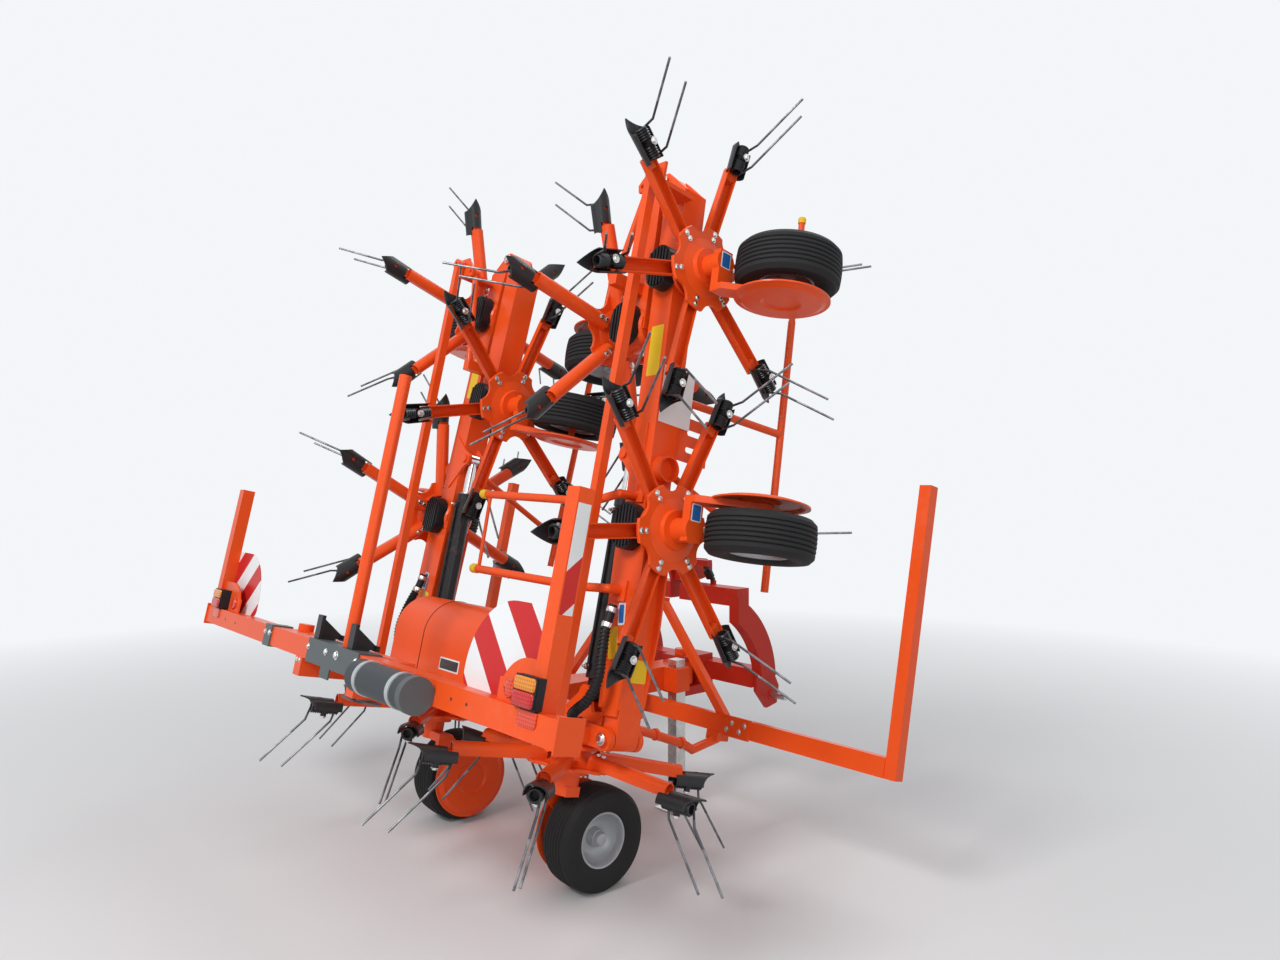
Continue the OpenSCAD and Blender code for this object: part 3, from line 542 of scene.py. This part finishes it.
def banded_tube(name):
    """Document tube: dark moulded plastic under two bright clamping bands, and a paler end cap."""
    f = moulded(name, (0.045, 0.052, 0.058), 0.42)
    x, y, z = f.axes()
    band, cap = near(x, 0.489, 0.513) + near(x, 0.729, 0.753), x > 0.8015
    grain = f.noise(6.0, 4.0)
    body = f.mix(grain, (0.030, 0.036, 0.042), (0.055, 0.064, 0.072))
    f.set("Base Color", f.mix(band, f.mix(cap, body, (0.10, 0.11, 0.115)), (0.52, 0.54, 0.55)))
    f.set("Metallic", band * 0.8)
    f.set("Roughness", grain * 0.2 + 0.34 - band * 0.1)


def lens(name, colour):
    """Lamp glass: fine ribs moulded inside a clear coloured face."""
    f = Finish(name, colour, 0.1, 0.0, 0.3, 0.35)
    x, y, z = f.axes()
    rib = (x * 620.0).apply("SINE") * 0.5 + (z * 620.0).apply("SINE") * 0.5
    f.set("Base Color", f.mix(rib * 0.4 + 0.4, shade(colour, 0.55), shade(colour, 1.25)))
    f.bump(rib, 0.16, 0.0008)


def tine_steel(name, side, i):
    """One rotor's tine sets: the coils and guards are black, the tines below them are worn bright.

    The height over the clamp plane is the point's dot product with the rotor's axis, less the plane's."""
    black, drawn, bright = (0.018, 0.018, 0.02), (0.09, 0.095, 0.105), (0.55, 0.56, 0.58)
    m = at_rotor(side, i)
    axis = [float(v) for v in m[:3, 2]]
    f = Finish(name, (0.02, 0.02, 0.022), 0.34, 0.0, 0.1, 0.3)
    x, y, z = f.axes()
    height = x * axis[0] + y * axis[1] + z * axis[2] - float(m[:3, 3] @ m[:3, 2])
    wire, streak = height < -0.034, f.noise(26.0, 4.0)
    worn = ((height < -0.12) * (streak - 0.28)).apply("MAXIMUM", 0.0)
    f.set("Base Color", f.mix(wire, black, f.mix(worn, drawn, bright)))
    f.set("Metallic", wire * 0.9)
    f.set("Roughness", streak * 0.2 + 0.27)
    f.bump(f.noise(300.0, 3.0), 0.12, 0.0006)


def make_finishes(colours):
    """Every finish of the machine, by the names that its pieces use."""
    painted("red_paint", tuple(colours.paint))
    painted("dark_red_paint", tuple(colours.dark_paint), 0.34, hitch_pins)
    painted("shaft_and_box", tuple(colours.paint), 0.3, input_shaft)
    painted("black_enamel", (0.018, 0.018, 0.02), 0.3)
    painted("grey_enamel", (0.085, 0.10, 0.105), 0.36)
    painted("rim_paint", tuple(colours.rim), 0.34).set("Metallic", 0.35)
    moulded("tyre_rubber", tuple(colours.rubber), 0.72, 180.0, 0.3)
    moulded("black_plastic", tuple(colours.plastic), 0.42)
    moulded("hose_rubber", (0.012, 0.012, 0.013), 0.5)
    moulded("yellow_plastic", (0.85, 0.56, 0.02), 0.4)
    moulded("white_sheet", (0.80, 0.81, 0.80), 0.38)
    moulded("blue_sheet", (0.02, 0.13, 0.42), 0.35)
    moulded("dark_sheet", (0.05, 0.045, 0.045), 0.4)
    moulded("red_sheet", (0.60, 0.025, 0.02), 0.3)
    bare_steel("plated_steel", (0.66, 0.66, 0.64), 0.26)
    bare_steel("chromed_rod", (0.80, 0.81, 0.82), 0.12)
    striped("striped_foil", (0.60, 0.02, 0.022), (0.84, 0.86, 0.87))
    banded_tube("canister_plastic")
    lens("red_lens", (0.62, 0.012, 0.014))
    lens("amber_lens", (0.88, 0.27, 0.012))
    lens("clear_red", (0.82, 0.060, 0.020))
    for name, (side, i) in ROTORS.items():
        tine_steel("tine_set_" + name, side, i)


def lay_finishes():
    """Lay a finish on each of the construction's own pieces, by its name or by the name's first word."""
    by_name = {
        "headstock": "dark_red_paint", "centre_gearbox": "shaft_and_box", "parking_leg": "plated_steel",
        "canister": "canister_plastic", "warning_panels": "striped_foil", "rests": "black_enamel",
        "lamp_housings": "black_plastic", "clamps": "grey_enamel", "hoses": "hose_rubber",
        "damper": "black_enamel", "lamps": "red_lens",
    }
    by_name.update({"tines_" + name: "tine_set_" + name for name in ROTORS})
    by_word = {
        "wheel": "tyre_rubber", "cylinder": "black_enamel", "piston": "chromed_rod",
        "boots": "black_plastic",
    }
    for name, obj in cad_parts.items():
        finish = by_name.get(name) or by_word.get(name.split("_")[0], "red_paint")
        obj.data.materials.clear()
        obj.data.materials.append(FINISHES[finish])


# Wheels and rotors
def tyre_form(ribs, depth):
    """Tyre: the crown is a shallow arc, and every fourth of its points drops to the bottom of a groove."""
    half = 0.060
    a = np.linspace(-half, half, ribs * 4 + 1)
    crown = TYRE_R - 0.004 * (a / half) ** 2
    crown = crown - depth * (np.arange(len(a)) % 4 == 0) * (np.abs(a) < half - 0.0001)
    tread = np.column_stack([a, crown]).tolist()
    wall = [(0.066, 0.196), (0.074, 0.188), (0.0765, 0.186), (0.079, 0.172), (TYRE_W / 2, 0.155),
            (0.078, 0.140), (0.074, 0.124), (0.066, 0.112), (0.058, 0.106), (0.050, 0.102)]
    return lathe([(-x, r) for x, r in reversed(wall)] + tread + wall, 96)


def rim_form():
    """Rim: rolled edge, well, then a deep bowl down to the hub and its turned cap, and its back."""
    face = [(0.050, 0.1035), (0.060, 0.110), (0.0638, 0.1085), (0.0625, 0.101), (0.052, 0.0965),
            (0.036, 0.094), (0.030, 0.091), (0.020, 0.084), (0.006, 0.074), (-0.002, 0.060),
            (-0.004, 0.046), (-0.001, 0.038), (0.006, 0.0345), (0.030, 0.0335), (0.034, 0.0315),
            (0.035, 0.029), (0.0365, 0.0285), (0.050, 0.027), (0.056, 0.023), (0.0585, 0.014),
            (0.059, 0.0)]
    back = [(-0.050, 0.1035), (-0.060, 0.110), (-0.0635, 0.108), (-0.060, 0.098), (-0.045, 0.093),
            (-0.020, 0.090), (-0.014, 0.078), (-0.018, 0.060), (-0.018, 0.034), (-0.044, 0.031),
            (-0.046, 0.028), (-0.0461, 0.0)]
    return lathe(face + back[::-1], 64)


def dressed_wheels(ribs, depth):
    """Tyre, rim and a black disc of painted shade in the valve's opening, for each rotor; the open face looks
    away from the leg.
    """
    tyre, rim = tyre_form(ribs, depth), rim_form()
    # a black disc in the rim's bowl: painted shade standing in for the valve's opening
    hole_shade_disc = lathe([(-0.002, 0.0), (0.0012, 0.007), (0.0024, 0.0085),
                  (0.0030, 0.0105), (-0.002, 0.012)], 16)
    for name, (side, i) in ROTORS.items():
        facing_out = turn(2, 0.0 if leg_side(side, i) < 0 else math.pi)
        at = at_rotor(side, i) @ shift_by(0, WHEEL_LEAD, -WHEEL_DROP) @ facing_out
        shapes = []
        put(shapes, at, tyre, 0)
        put(shapes, at, rim, 1)
        # the black disc of painted shade in the valve's opening
        put(shapes, at @ turn(0, 0.9) @ shift_by(0.0035, 0, 0.070), hole_shade_disc, 2)
        wheel = "wheel_" + name
        piece(wheel + "_dressed", shapes, wheel, ["tyre_rubber", "rim_paint", "black_plastic"], [wheel])


def rotor_bolts():
    """On each arm, a bolt of the tine clamp and two through the root, with heads below and on the dish."""
    clamp_bolt, root_bolt = 0.0115, 0.0085
    for name, (side, i) in ROTORS.items():
        shapes = []
        for k in range(6):
            arm = at_rotor(side, i) @ turn(2, arm_angle(side, i, k))
            put_bolt(shapes, arm @ shift_by(CLAMP_R, 0, -0.0365) @ DOWNWARD, clamp_bolt)
            for x in (0.134, 0.160):
                dish = 0.0868 - (x - 0.130) * 0.056
                put_bolt(shapes, arm @ shift_by(x, 0, 0.0215) @ DOWNWARD, root_bolt)
                put_bolt(shapes, arm @ shift_by(x - 0.004, 0, dish) @ UPWARD, root_bolt)
        piece("rotor_bolts_" + name, shapes, "rotor_" + name, ["plated_steel"], smooth=False)


def housing_bolts():
    """Bolts round the joint of each gear housing; behind a wing's, its ribbed covers take their place."""
    places = {"frame": [(1, 0), (-1, 0)]}
    places.update({"wing_" + letter: [(side, i) for i in (1, 2, 3)] for side, letter in SIDES})
    in_front, behind = (45, 65, 115, 135), (-45, -65, -115, -135)
    for body, rotors in places.items():
        shapes = []
        for side, i in rotors:
            for a in in_front + (behind if i == 0 else ()):
                joint = at_rotor(side, i) @ turn(2, math.radians(a)) @ shift_by(0.0975, 0, 0.1115)
                put_bolt(shapes, joint @ UPWARD, 0.0065)
        piece("housing_bolts_" + body, shapes, body, ["plated_steel"], smooth=False)


# Bars and lamps
def lamp_lenses():
    """On each end of the rear bar: amber glass over red glass on a shell, and two reflectors."""
    glass = [(0.0, 0.0), (0.0, 0.006), (0.0015, 0.0095),
             (0.004, 0.0115), (0.012, 0.0125), (0.020, 0.0128)]
    shell = [(0, -0.004), (0, 0.0045), (0.003, 0.006)]
    flap = [(0, -0.001), (0, 0.0035), (0.002, 0.005), (0.008, 0.0055)]
    disc = lathe([(-0.001, 0), (-0.001, 0.028), (0.005, 0.028), (0.0075, 0.0262), (0.0070, 0.0238),
                  (0.0078, 0.022), (0.0092, 0.012), (0.0096, 0)], 40)
    shapes = []
    for side, _ in SIDES:
        lamp = on_bar(side, REAR_HALF - 0.151, 0.0538, 0) @ FACE_REAR
        put(shapes, lamp @ shift_by(0, 0.149, 0), plate(0.100, 0.038, 0.010, glass), 1)
        put(shapes, lamp @ shift_by(0, 0.1075, 0), plate(0.100, 0.043, 0.010, glass), 0)
        put(shapes, lamp @ shift_by(0, 0.128, 0), plate(0.106, 0.086, 0.012, shell), 3)
        put(shapes, on_bar(side, REAR_HALF - 0.280, 0.0143, 0.120) @ REARWARD, disc, 2)
        # small reflector that hangs over the bar's face
        hung = on_bar(side, REAR_HALF - 0.139, BAR_HALF, 0.058) @ FACE_REAR
        put(shapes, hung, plate(0.090, 0.046, 0.012, flap), 2)
    piece("lamp_lenses", shapes, "frame",
          ["red_lens", "amber_lens", "clear_red", "black_plastic"], ["lamps"])


def bar_bolts():
    """Bolts of the clamped sleeve and band, the front bar's splice plates and the rear bar's carriers."""
    sleeve = ((-0.166, 0.009), (0.0, 0.010), (0.095, 0.0125), (0.262, 0.0105))
    band = ((-0.641, 0.0085), (-0.592, 0.0095))
    shapes = []
    for x, r in sleeve + band:
        put_bolt(shapes, on_bar(1, x, 0.0458, 0.052) @ REARWARD, r)
    for side, _ in SIDES:
        for x, n in ((0.635, 0.70), (0.662, 0.73), (0.708, 0.70), (0.735, 0.73)):
            put_bolt(shapes, LEANED @ mirror(side) @ shift_by(x, 0.7452, n) @ REARWARD, 0.0085)
        for x in (0.238, 0.262):
            put_bolt(shapes, on_bar(side, x, 0.0396, -0.012) @ REARWARD, 0.007)
    piece("bar_bolts", shapes, "frame", ["plated_steel"], smooth=False)


def bar_hole_shades():
    """Dark discs along the middle of the rear bar's face: painted shade standing in for small holes."""
    # a dark disc a little proud of the face: painted shade of a small opening in the bar
    hole_shade_disc = lathe([(-0.001, 0.0055), (0.0005, 0.0055), (0.0006, 0.0040),
                  (0.0002, 0.0036), (0.0002, 0)], 16)
    shapes = []
    for x in (-1.30, -1.19, -1.05, 0.345, 0.395, 0.93, 1.02):
        put(shapes, on_bar(1, x, BAR_HALF, BAR_HALF) @ REARWARD, hole_shade_disc)
    piece("bar_hole_shades", shapes, "frame", ["dark_sheet"])


def post_tape():
    """Reflective tape on the outer sides of the posts: white, red, white with slanted joints."""
    stretches = (
        ([(-0.817, 1.205), (-0.771, 1.253), (-0.771, 1.400), (-0.817, 1.400)], 0),
        ([(-0.817, 1.205), (-0.817, 1.086), (-0.806, 1.086), (-0.771, 1.121), (-0.771, 1.253)], 1),
        ([(-0.806, 1.086), (-0.771, 1.086), (-0.771, 1.121)], 0),
    )
    shapes = []
    for side, inwards in ((1, 0.1039), (-1, 0.0299)):
        at = LEANED @ mirror(side) @ shift_by(REAR_HALF - inwards, 0, 0) @ FACE_RIGHT
        for outline, k in stretches:
            put(shapes, at, slab(outline, -0.0004, 0.0005), k)
    piece("post_tape", shapes, "frame", ["white_sheet", "red_sheet"], smooth=False)


# Hoses and fold cylinders
def wound_guard(line, step, bundle, beside):
    """Spiral guard: a wire wound round the bundle, one turn in 15 mm of its length."""
    even = np.linspace(0.03, step[-1] - 0.10, 900)
    mid = np.column_stack([np.interp(even, step, line[:, k]) for k in range(3)])
    tan = unit(np.gradient(mid, axis=0))
    a = unit(np.cross(tan, beside))
    b = np.cross(tan, a)
    t = (even * 2 * np.pi / 0.015)[:, None]
    return sweep(mid + (bundle + 0.001) * (np.cos(t) * a + np.sin(t) * b), 0.0026, 6)


def hose_bundle(side, letter):
    """One wing's hoses in their guard, with three bands and the clip that holds them on the wing.

    The bundle bends over the wing's hinge, from its low run on the frame up to that clip."""
    run = np.array([(622, -62.1, 690), (622, -88, 692), (640, -125, 715), (690, -145, 745),
                    (750, -152, 790), (782, -148, 870), (768, -138, 960), (746, -122, 1040),
                    (738, -108, 1090), (736, -97, 1145)]) / 1000
    line = bend(run, 420)
    step = np.concatenate([[0], np.cumsum(np.linalg.norm(np.diff(line, axis=0), axis=1))])
    bundle, beside = 0.0172, (0.0, 1.0, 0.2)
    band = lathe([(-0.010, bundle), (-0.010, 0.0200), (-0.008, 0.0208),
                  (0.008, 0.0208), (0.010, 0.0200), (0.010, bundle)], 28)
    collar = lathe([(-0.001, 0.016), (-0.001, 0.022), (0.001, 0.0235),
                    (0.013, 0.0235), (0.015, 0.022), (0.015, 0.016)], 32)
    at = LEANED @ mirror(side)
    shapes = []
    put(shapes, at, wound_guard(line, step, bundle, beside), 0)
    put(shapes, at, sweep(line[2:-2], bundle, 20), 1)
    for s in (0.045, step[-1] - 0.085, step[-1] - 0.022):
        j = int(np.searchsorted(step, s))
        put(shapes, at @ facing(line[j], line[j + 1] - line[j], beside), band, 2)
    clip = at @ shift_by(0.741, -0.114, 1.060) @ turn(0, math.radians(-15))
    put(shapes, clip @ UPWARD, collar, 2)
    ends = (moved_point(at, place) for place in ((0.700, -0.140, 0.735), (0.741, -0.112, 1.060)))
    piece("hose_bundle_" + letter, shapes, "frame", ["black_plastic", "hose_rubber", "plated_steel"],
          ["hoses"], across=("wing_" + letter, *ends))


def cylinder_unions(side, letter):
    """On a fold cylinder: a hex union and a pipe end at each oil port, and the gland on its head."""
    union = lathe([(-0.001, 0), (-0.001, 0.0095), (0.009, 0.0095), (0.0105, 0.0085), (0.0105, 0)], 6)
    pipe = lathe([(0, 0), (0, 0.006), (0.010, 0.006), (0.012, 0.004), (0.012, 0)], 16)
    gland = lathe([(0, 0.0232), (0, 0.036), (0.004, 0.034), (0.006, 0.028), (0.006, 0.0232)], 32)
    lean = math.atan2(-0.002, 0.945)
    foot = LEANED @ mirror(side) @ shift_by(0.612, -0.020, 0.795) @ turn(1, lean)
    shapes = []
    for z in (0.102, 0.712):
        put(shapes, foot @ shift_by(0, -0.0518, z) @ REARWARD, union)
        put(shapes, foot @ shift_by(0, -0.0625, z) @ REARWARD, pipe)
    put(shapes, foot @ shift_by(0, 0, 0.7695) @ UPWARD, gland)
    piece("cylinder_unions_" + letter, shapes, "cylinder_" + letter, ["plated_steel"])


# Trim
def blank_plates(side, letter):
    """Blank sheets and plates of one wing."""
    wing, shapes = folded(side), []
    # under the main tube: a large white sheet and a yellow plate; on its rear: a long yellow strip
    under = shift_by(0, 0, BEAM_N - BEAM_HALF) @ turn(0, math.pi)
    behind = shift_by(0, -BEAM_HALF - 0.0002, BEAM_N) @ FACE_REAR
    put(shapes, wing @ shift_by(2.12, 0.035, 0) @ under, plate(0.23, 0.17, 0.004, SHEET), 1)
    put(shapes, wing @ shift_by(1.045, 0.015, 0) @ under, plate(0.085, 0.075, 0.006, SHEET), 0)
    put(shapes, wing @ shift_by(2.30, 0, 0) @ behind, plate(0.21, 0.07, 0.006, SHEET), 0)
    # on the rear side plate: a yellow plate, and a blue one with a pale edge, each a little askew
    side_plate = -BEAM_HALF - 0.0083
    yellow = wing @ shift_by(1.140, side_plate, 0.688) @ FACE_REAR @ turn(2, 0.15)
    blue = wing @ shift_by(1.250, side_plate, 0.660) @ FACE_REAR @ turn(2, 0.1)
    put(shapes, yellow, plate(0.120, 0.050, 0.006, SHEET), 0)
    put_edged(shapes, blue, (0.085, 0.040, 0.006), (0.070, 0.026, 0.006), 1)
    # under the leg of each rotor: a blue plate with a pale edge
    for i, along in ((1, 0.062), (2, 0.005)):
        leg = wing @ shift_by(PITCH * (i + 0.5) + along, -0.001, CLAMP_N - 0.090) @ turn(0, math.pi)
        put_edged(shapes, leg, (0.066, 0.050, 0.003), (0.057, 0.041, 0.002), 1)
    body = "wing_" + letter
    piece("blank_plates_" + body, shapes, body, ["yellow_plastic", "white_sheet", "blue_sheet"],
          smooth=False)


def tip_pins(side, letter):
    """Heads of the pin of one wing's second hinge."""
    shapes = []
    put_pin_heads(shapes, folded(side) @ shift_by(*TIP_HINGE[side]), BEAM_HALF + 0.0116)
    piece("tip_pins_wing_" + letter, shapes, "wing_" + letter, ["plated_steel"])


def guard_end(side, letter):
    """Slim end of one wing's guard tube, past the second hinge, under its yellow cap."""
    long = 0.515
    foot = folded(side) @ shift_by(PITCH * 2.5 + 0.030, 0.690, CLAMP_N + 0.140)
    tube = [(0, 0), (0, 0.0160), (0.0105, 0.0160), (0.012, 0.0148), (long, 0.0148), (long, 0)]
    shapes = []
    put(shapes, foot @ shift_by(long, 0, 0), cup(0.0152, 0.022, 0.008), 0)
    put(shapes, foot, lathe(tube, 20), 1)
    piece("guard_cap_wing_" + letter, shapes, "wing_" + letter, ["yellow_plastic", "red_paint"])


def hinge_pins():
    """Heads of the pins that the wings hang on."""
    shapes = []
    for side, _ in SIDES:
        put_pin_heads(shapes, LEANED @ mirror(side) @ shift_by(*HINGE), BEAM_HALF + 0.0356)
    piece("hinge_pins", shapes, "frame", ["plated_steel"])


def bow_caps():
    """Caps on the free ends of the bows behind the right wing."""
    upper = ((0.600, -0.176, 1.520), (-0.070, -0.252, 1.526))
    lower = ((0.600, -0.176, 1.190), (-0.050, -0.244, 1.202))
    shapes = []
    for start, end in (upper, lower):
        put(shapes, LEANED @ facing(end, np.subtract(end, start), (0, 0, 1)), cup(0.0168, 0.030, 0.010))
    piece("bow_caps", shapes, "wing_r", ["yellow_plastic"])


def hood_trim():
    """Seam of the hood, a dark line over its arc and down its rear wall, and a blank label beside it."""
    t = np.linspace(math.radians(18.8), math.pi, 40)
    over = np.column_stack([-0.230 + 0.150 * np.cos(t), 0.900 + 0.150 * np.sin(t)])
    line = np.vstack([over, [(-0.380, 0.84), (-0.380, 0.78), (-0.380, 0.730)]])
    seam = np.column_stack([np.full(len(line), -0.118), line])
    label = LEANED @ shift_by(0.130, -0.3802, 0.800) @ FACE_REAR
    shapes = []
    put(shapes, LEANED, sweep(seam, 0.0022, 8), 0)
    put_edged(shapes, label, (0.150, 0.050, 0.004), (0.138, 0.038, 0.003), 1, lift=0.0007)
    piece("hood_trim", shapes, "frame", ["black_plastic", "white_sheet", "dark_sheet"])


def disc_plates():
    """Blank blue plates with a pale edge on the deflector discs of the centre rotors."""
    shapes = []
    for side, _ in SIDES:
        disc = at_rotor(side, 0) @ shift_by(-0.1309, WHEEL_LEAD - 0.080, -WHEEL_DROP + 0.090)
        at = disc @ FACE_RIGHT @ turn(2, math.radians(55))
        put_edged(shapes, at, (0.066, 0.034, 0.003), (0.058, 0.026, 0.002), 0)
    piece("disc_plates", shapes, "frame", ["white_sheet", "blue_sheet"], smooth=False)


# Stage
BACKDROP = (0.90, 0.92, 0.94, 1)


def pale_floor(scene):
    """Floor that takes the shadow near the machine, and fades to the background away from its middle."""
    f = Finish("pale_floor", (0.74, 0.74, 0.74), 0.9, 0.0, 0.0, 0.1)
    x, y, z = f.axes()
    far = (((x * x + y * y).apply("SQRT") - 2.2) / 5.5).apply("MAXIMUM", 0.0).apply("MINIMUM", 1.0)
    glow = f.node("ShaderNodeEmission", None, {"Color": BACKDROP, "Strength": 1.0})
    lit = Wire(f, f.shader.outputs[0])
    f.show("Material Output", f.node("ShaderNodeMixShader", None, {0: far * f.seen(), 1: lit, 2: glow}))
    reach = 40
    corners = [(-reach, -reach, 0), (reach, -reach, 0), (reach, reach, 0), (-reach, reach, 0)]
    mesh = bpy.data.meshes.new("floor")
    mesh.from_pydata(corners, [], [(0, 1, 2, 3)])
    mesh.materials.append(f.mat)
    obj = bpy.data.objects.new("floor", mesh)
    scene.collection.objects.link(obj)


def soft_lamps(scene):
    """Three round lamps: name, place, the point that it looks at, its width and its power."""
    for name, place, aim, size, power in (
        ("key", (1.5, -6.5, 7.0), (0, 0, 1.4), 3.0, 460.0),
        ("fill", (6.0, -3.0, 3.5), (0, 0, 1.2), 5.0, 110.0),
        ("top", (0.0, 3.5, 7.5), (0, 0, 1.4), 5.0, 150.0),
    ):
        light = bpy.data.lights.new(name, "AREA")
        light.shape, light.size, light.energy = "DISK", size, power
        lamp = bpy.data.objects.new(name, light)
        scene.collection.objects.link(lamp)
        lamp.location = place
        d = unit(np.subtract(aim, place))
        lamp.rotation_euler = (math.acos(-d[2]), 0, math.atan2(d[1], d[0]) - math.pi / 2)


def pale_world(scene):
    """World with a soft light on the machine, and the pale background where it is seen."""
    scene.world = bpy.data.worlds.new("studio")
    scene.world.use_nodes = True
    sky = Nodes(scene.world.node_tree)
    plain = sky.node("ShaderNodeBackground", None, {"Color": (0.92, 0.95, 1.0, 1), "Strength": 0.36})
    shown = sky.node("ShaderNodeBackground", None, {"Color": BACKDROP, "Strength": 1.0})
    sky.show("World Output", sky.node("ShaderNodeMixShader", None, {0: sky.seen(), 1: plain, 2: shown}))


def photo_camera(scene):
    """Camera at the photograph's place: behind the machine to its right, looking level."""
    lens_mm, sensor_mm = 25.965, 36.0
    view = bpy.data.cameras.new("camera")
    view.sensor_width, view.lens = sensor_mm, lens_mm
    camera = bpy.data.objects.new("camera", view)
    scene.collection.objects.link(camera)
    camera.location = (3.41, -2.213 + SHIFT_Y, 1.626)
    camera.rotation_euler = (math.radians(90 - 0.055), 0, math.radians(48.695))
    bpy.context.scene.camera = camera
    scene.view_settings.view_transform = "Standard"


# Add-on
class TEDDER_PG_colours(bpy.types.PropertyGroup):
    """Colours that a user would change."""

    paint: bpy.props.FloatVectorProperty(
        name="Paint", description="Main orange-red paint", subtype="COLOR", default=(0.84, 0.088, 0.011))
    dark_paint: bpy.props.FloatVectorProperty(
        name="Headstock paint", description="Darker red of the headstock", subtype="COLOR",
        default=(0.50, 0.024, 0.010))
    rubber: bpy.props.FloatVectorProperty(
        name="Tyre rubber", description="Rubber of the tyres", subtype="COLOR", default=(0.018, 0.018, 0.019))
    plastic: bpy.props.FloatVectorProperty(
        name="Plastic", description="Covers, boots and lamp housings", subtype="COLOR",
        default=(0.014, 0.014, 0.016))
    rim: bpy.props.FloatVectorProperty(
        name="Rims", description="Wheel rims", subtype="COLOR", default=(0.42, 0.44, 0.46))


class TEDDER_PG_sizes(bpy.types.PropertyGroup):
    """Sizes that a user would change."""

    tread_ribs: bpy.props.IntProperty(
        name="Tread ribs", description="Ribs round a tyre's tread", default=7, min=3, max=11)
    tread_depth: bpy.props.FloatProperty(
        name="Tread depth", description="Depth of the grooves between the ribs", unit="LENGTH",
        default=0.006, min=0.002, max=0.01)


class TEDDER_OT_finishes(bpy.types.Operator):
    """Make every finish and lay it on the construction's own pieces"""

    bl_idname = "tedder.finishes"
    bl_label = "Finishes"

    def execute(self, context):
        make_finishes(context.scene.tedder_colours)
        lay_finishes()
        return {"FINISHED"}


class TEDDER_OT_wheels(bpy.types.Operator):
    """Ribbed implement tyres on dished rims"""

    bl_idname = "tedder.wheels"
    bl_label = "Wheels"

    def execute(self, context):
        sizes = context.scene.tedder_sizes
        dressed_wheels(sizes.tread_ribs, sizes.tread_depth)
        return {"FINISHED"}


class TEDDER_OT_bolts(bpy.types.Operator):
    """Bright bolts of the rotor arms, tine clamps and gear housings"""

    bl_idname = "tedder.bolts"
    bl_label = "Rotor bolts"

    def execute(self, context):
        rotor_bolts()
        housing_bolts()
        return {"FINISHED"}


class TEDDER_OT_lights(bpy.types.Operator):
    """Lenses, reflectors, reflective tape and the fastenings of the bars"""

    bl_idname = "tedder.lights"
    bl_label = "Lamps and rear bar"

    def execute(self, context):
        lamp_lenses()
        bar_bolts()
        bar_hole_shades()
        post_tape()
        return {"FINISHED"}


class TEDDER_OT_hoses(bpy.types.Operator):
    """Hose bundles in a spiral guard, with their bands and fittings"""

    bl_idname = "tedder.hoses"
    bl_label = "Hoses and fittings"

    def execute(self, context):
        for side, letter in SIDES:
            hose_bundle(side, letter)
            cylinder_unions(side, letter)
        return {"FINISHED"}


class TEDDER_OT_trim(bpy.types.Operator):
    """Caps, blank plates, pin ends and the seam of the hood"""

    bl_idname = "tedder.trim"
    bl_label = "Caps and blank plates"

    def execute(self, context):
        for side, letter in SIDES:
            blank_plates(side, letter)
            tip_pins(side, letter)
            guard_end(side, letter)
        hinge_pins()
        bow_caps()
        hood_trim()
        disc_plates()
        return {"FINISHED"}


class TEDDER_OT_stage(bpy.types.Operator):
    """Pale floor, soft lamps and the camera"""

    bl_idname = "tedder.stage"
    bl_label = "Stage"

    def execute(self, context):
        pale_floor(context.scene)
        soft_lamps(context.scene)
        pale_world(context.scene)
        photo_camera(context.scene)
        return {"FINISHED"}


OPERATORS = (TEDDER_OT_finishes, TEDDER_OT_wheels, TEDDER_OT_bolts, TEDDER_OT_lights, TEDDER_OT_hoses,
             TEDDER_OT_trim, TEDDER_OT_stage)


class TEDDER_PT_panel(bpy.types.Panel):
    """Shows the colours and sizes, and lists the operators"""

    bl_label = "Hay Tedder"
    bl_idname = "TEDDER_PT_panel"
    bl_space_type = "VIEW_3D"
    bl_region_type = "UI"
    bl_category = "Hay Tedder"

    def draw(self, context):
        for group in (context.scene.tedder_colours, context.scene.tedder_sizes):
            for key in group.__annotations__:
                self.layout.prop(group, key)
        for op in OPERATORS:
            self.layout.operator(op.bl_idname)


CLASSES = (TEDDER_PG_colours, TEDDER_PG_sizes) + OPERATORS + (TEDDER_PT_panel,)


def register():
    for cls in CLASSES:
        bpy.utils.register_class(cls)
    bpy.types.Scene.tedder_colours = bpy.props.PointerProperty(type=TEDDER_PG_colours)
    bpy.types.Scene.tedder_sizes = bpy.props.PointerProperty(type=TEDDER_PG_sizes)


def unregister():
    del bpy.types.Scene.tedder_colours, bpy.types.Scene.tedder_sizes
    for cls in reversed(CLASSES):
        bpy.utils.unregister_class(cls)


def main():
    """Make every piece in order."""
    register()
    for op in OPERATORS:
        group, name = op.bl_idname.split(".")
        getattr(getattr(bpy.ops, group), name)()


if __name__ == "__main__":
    main()
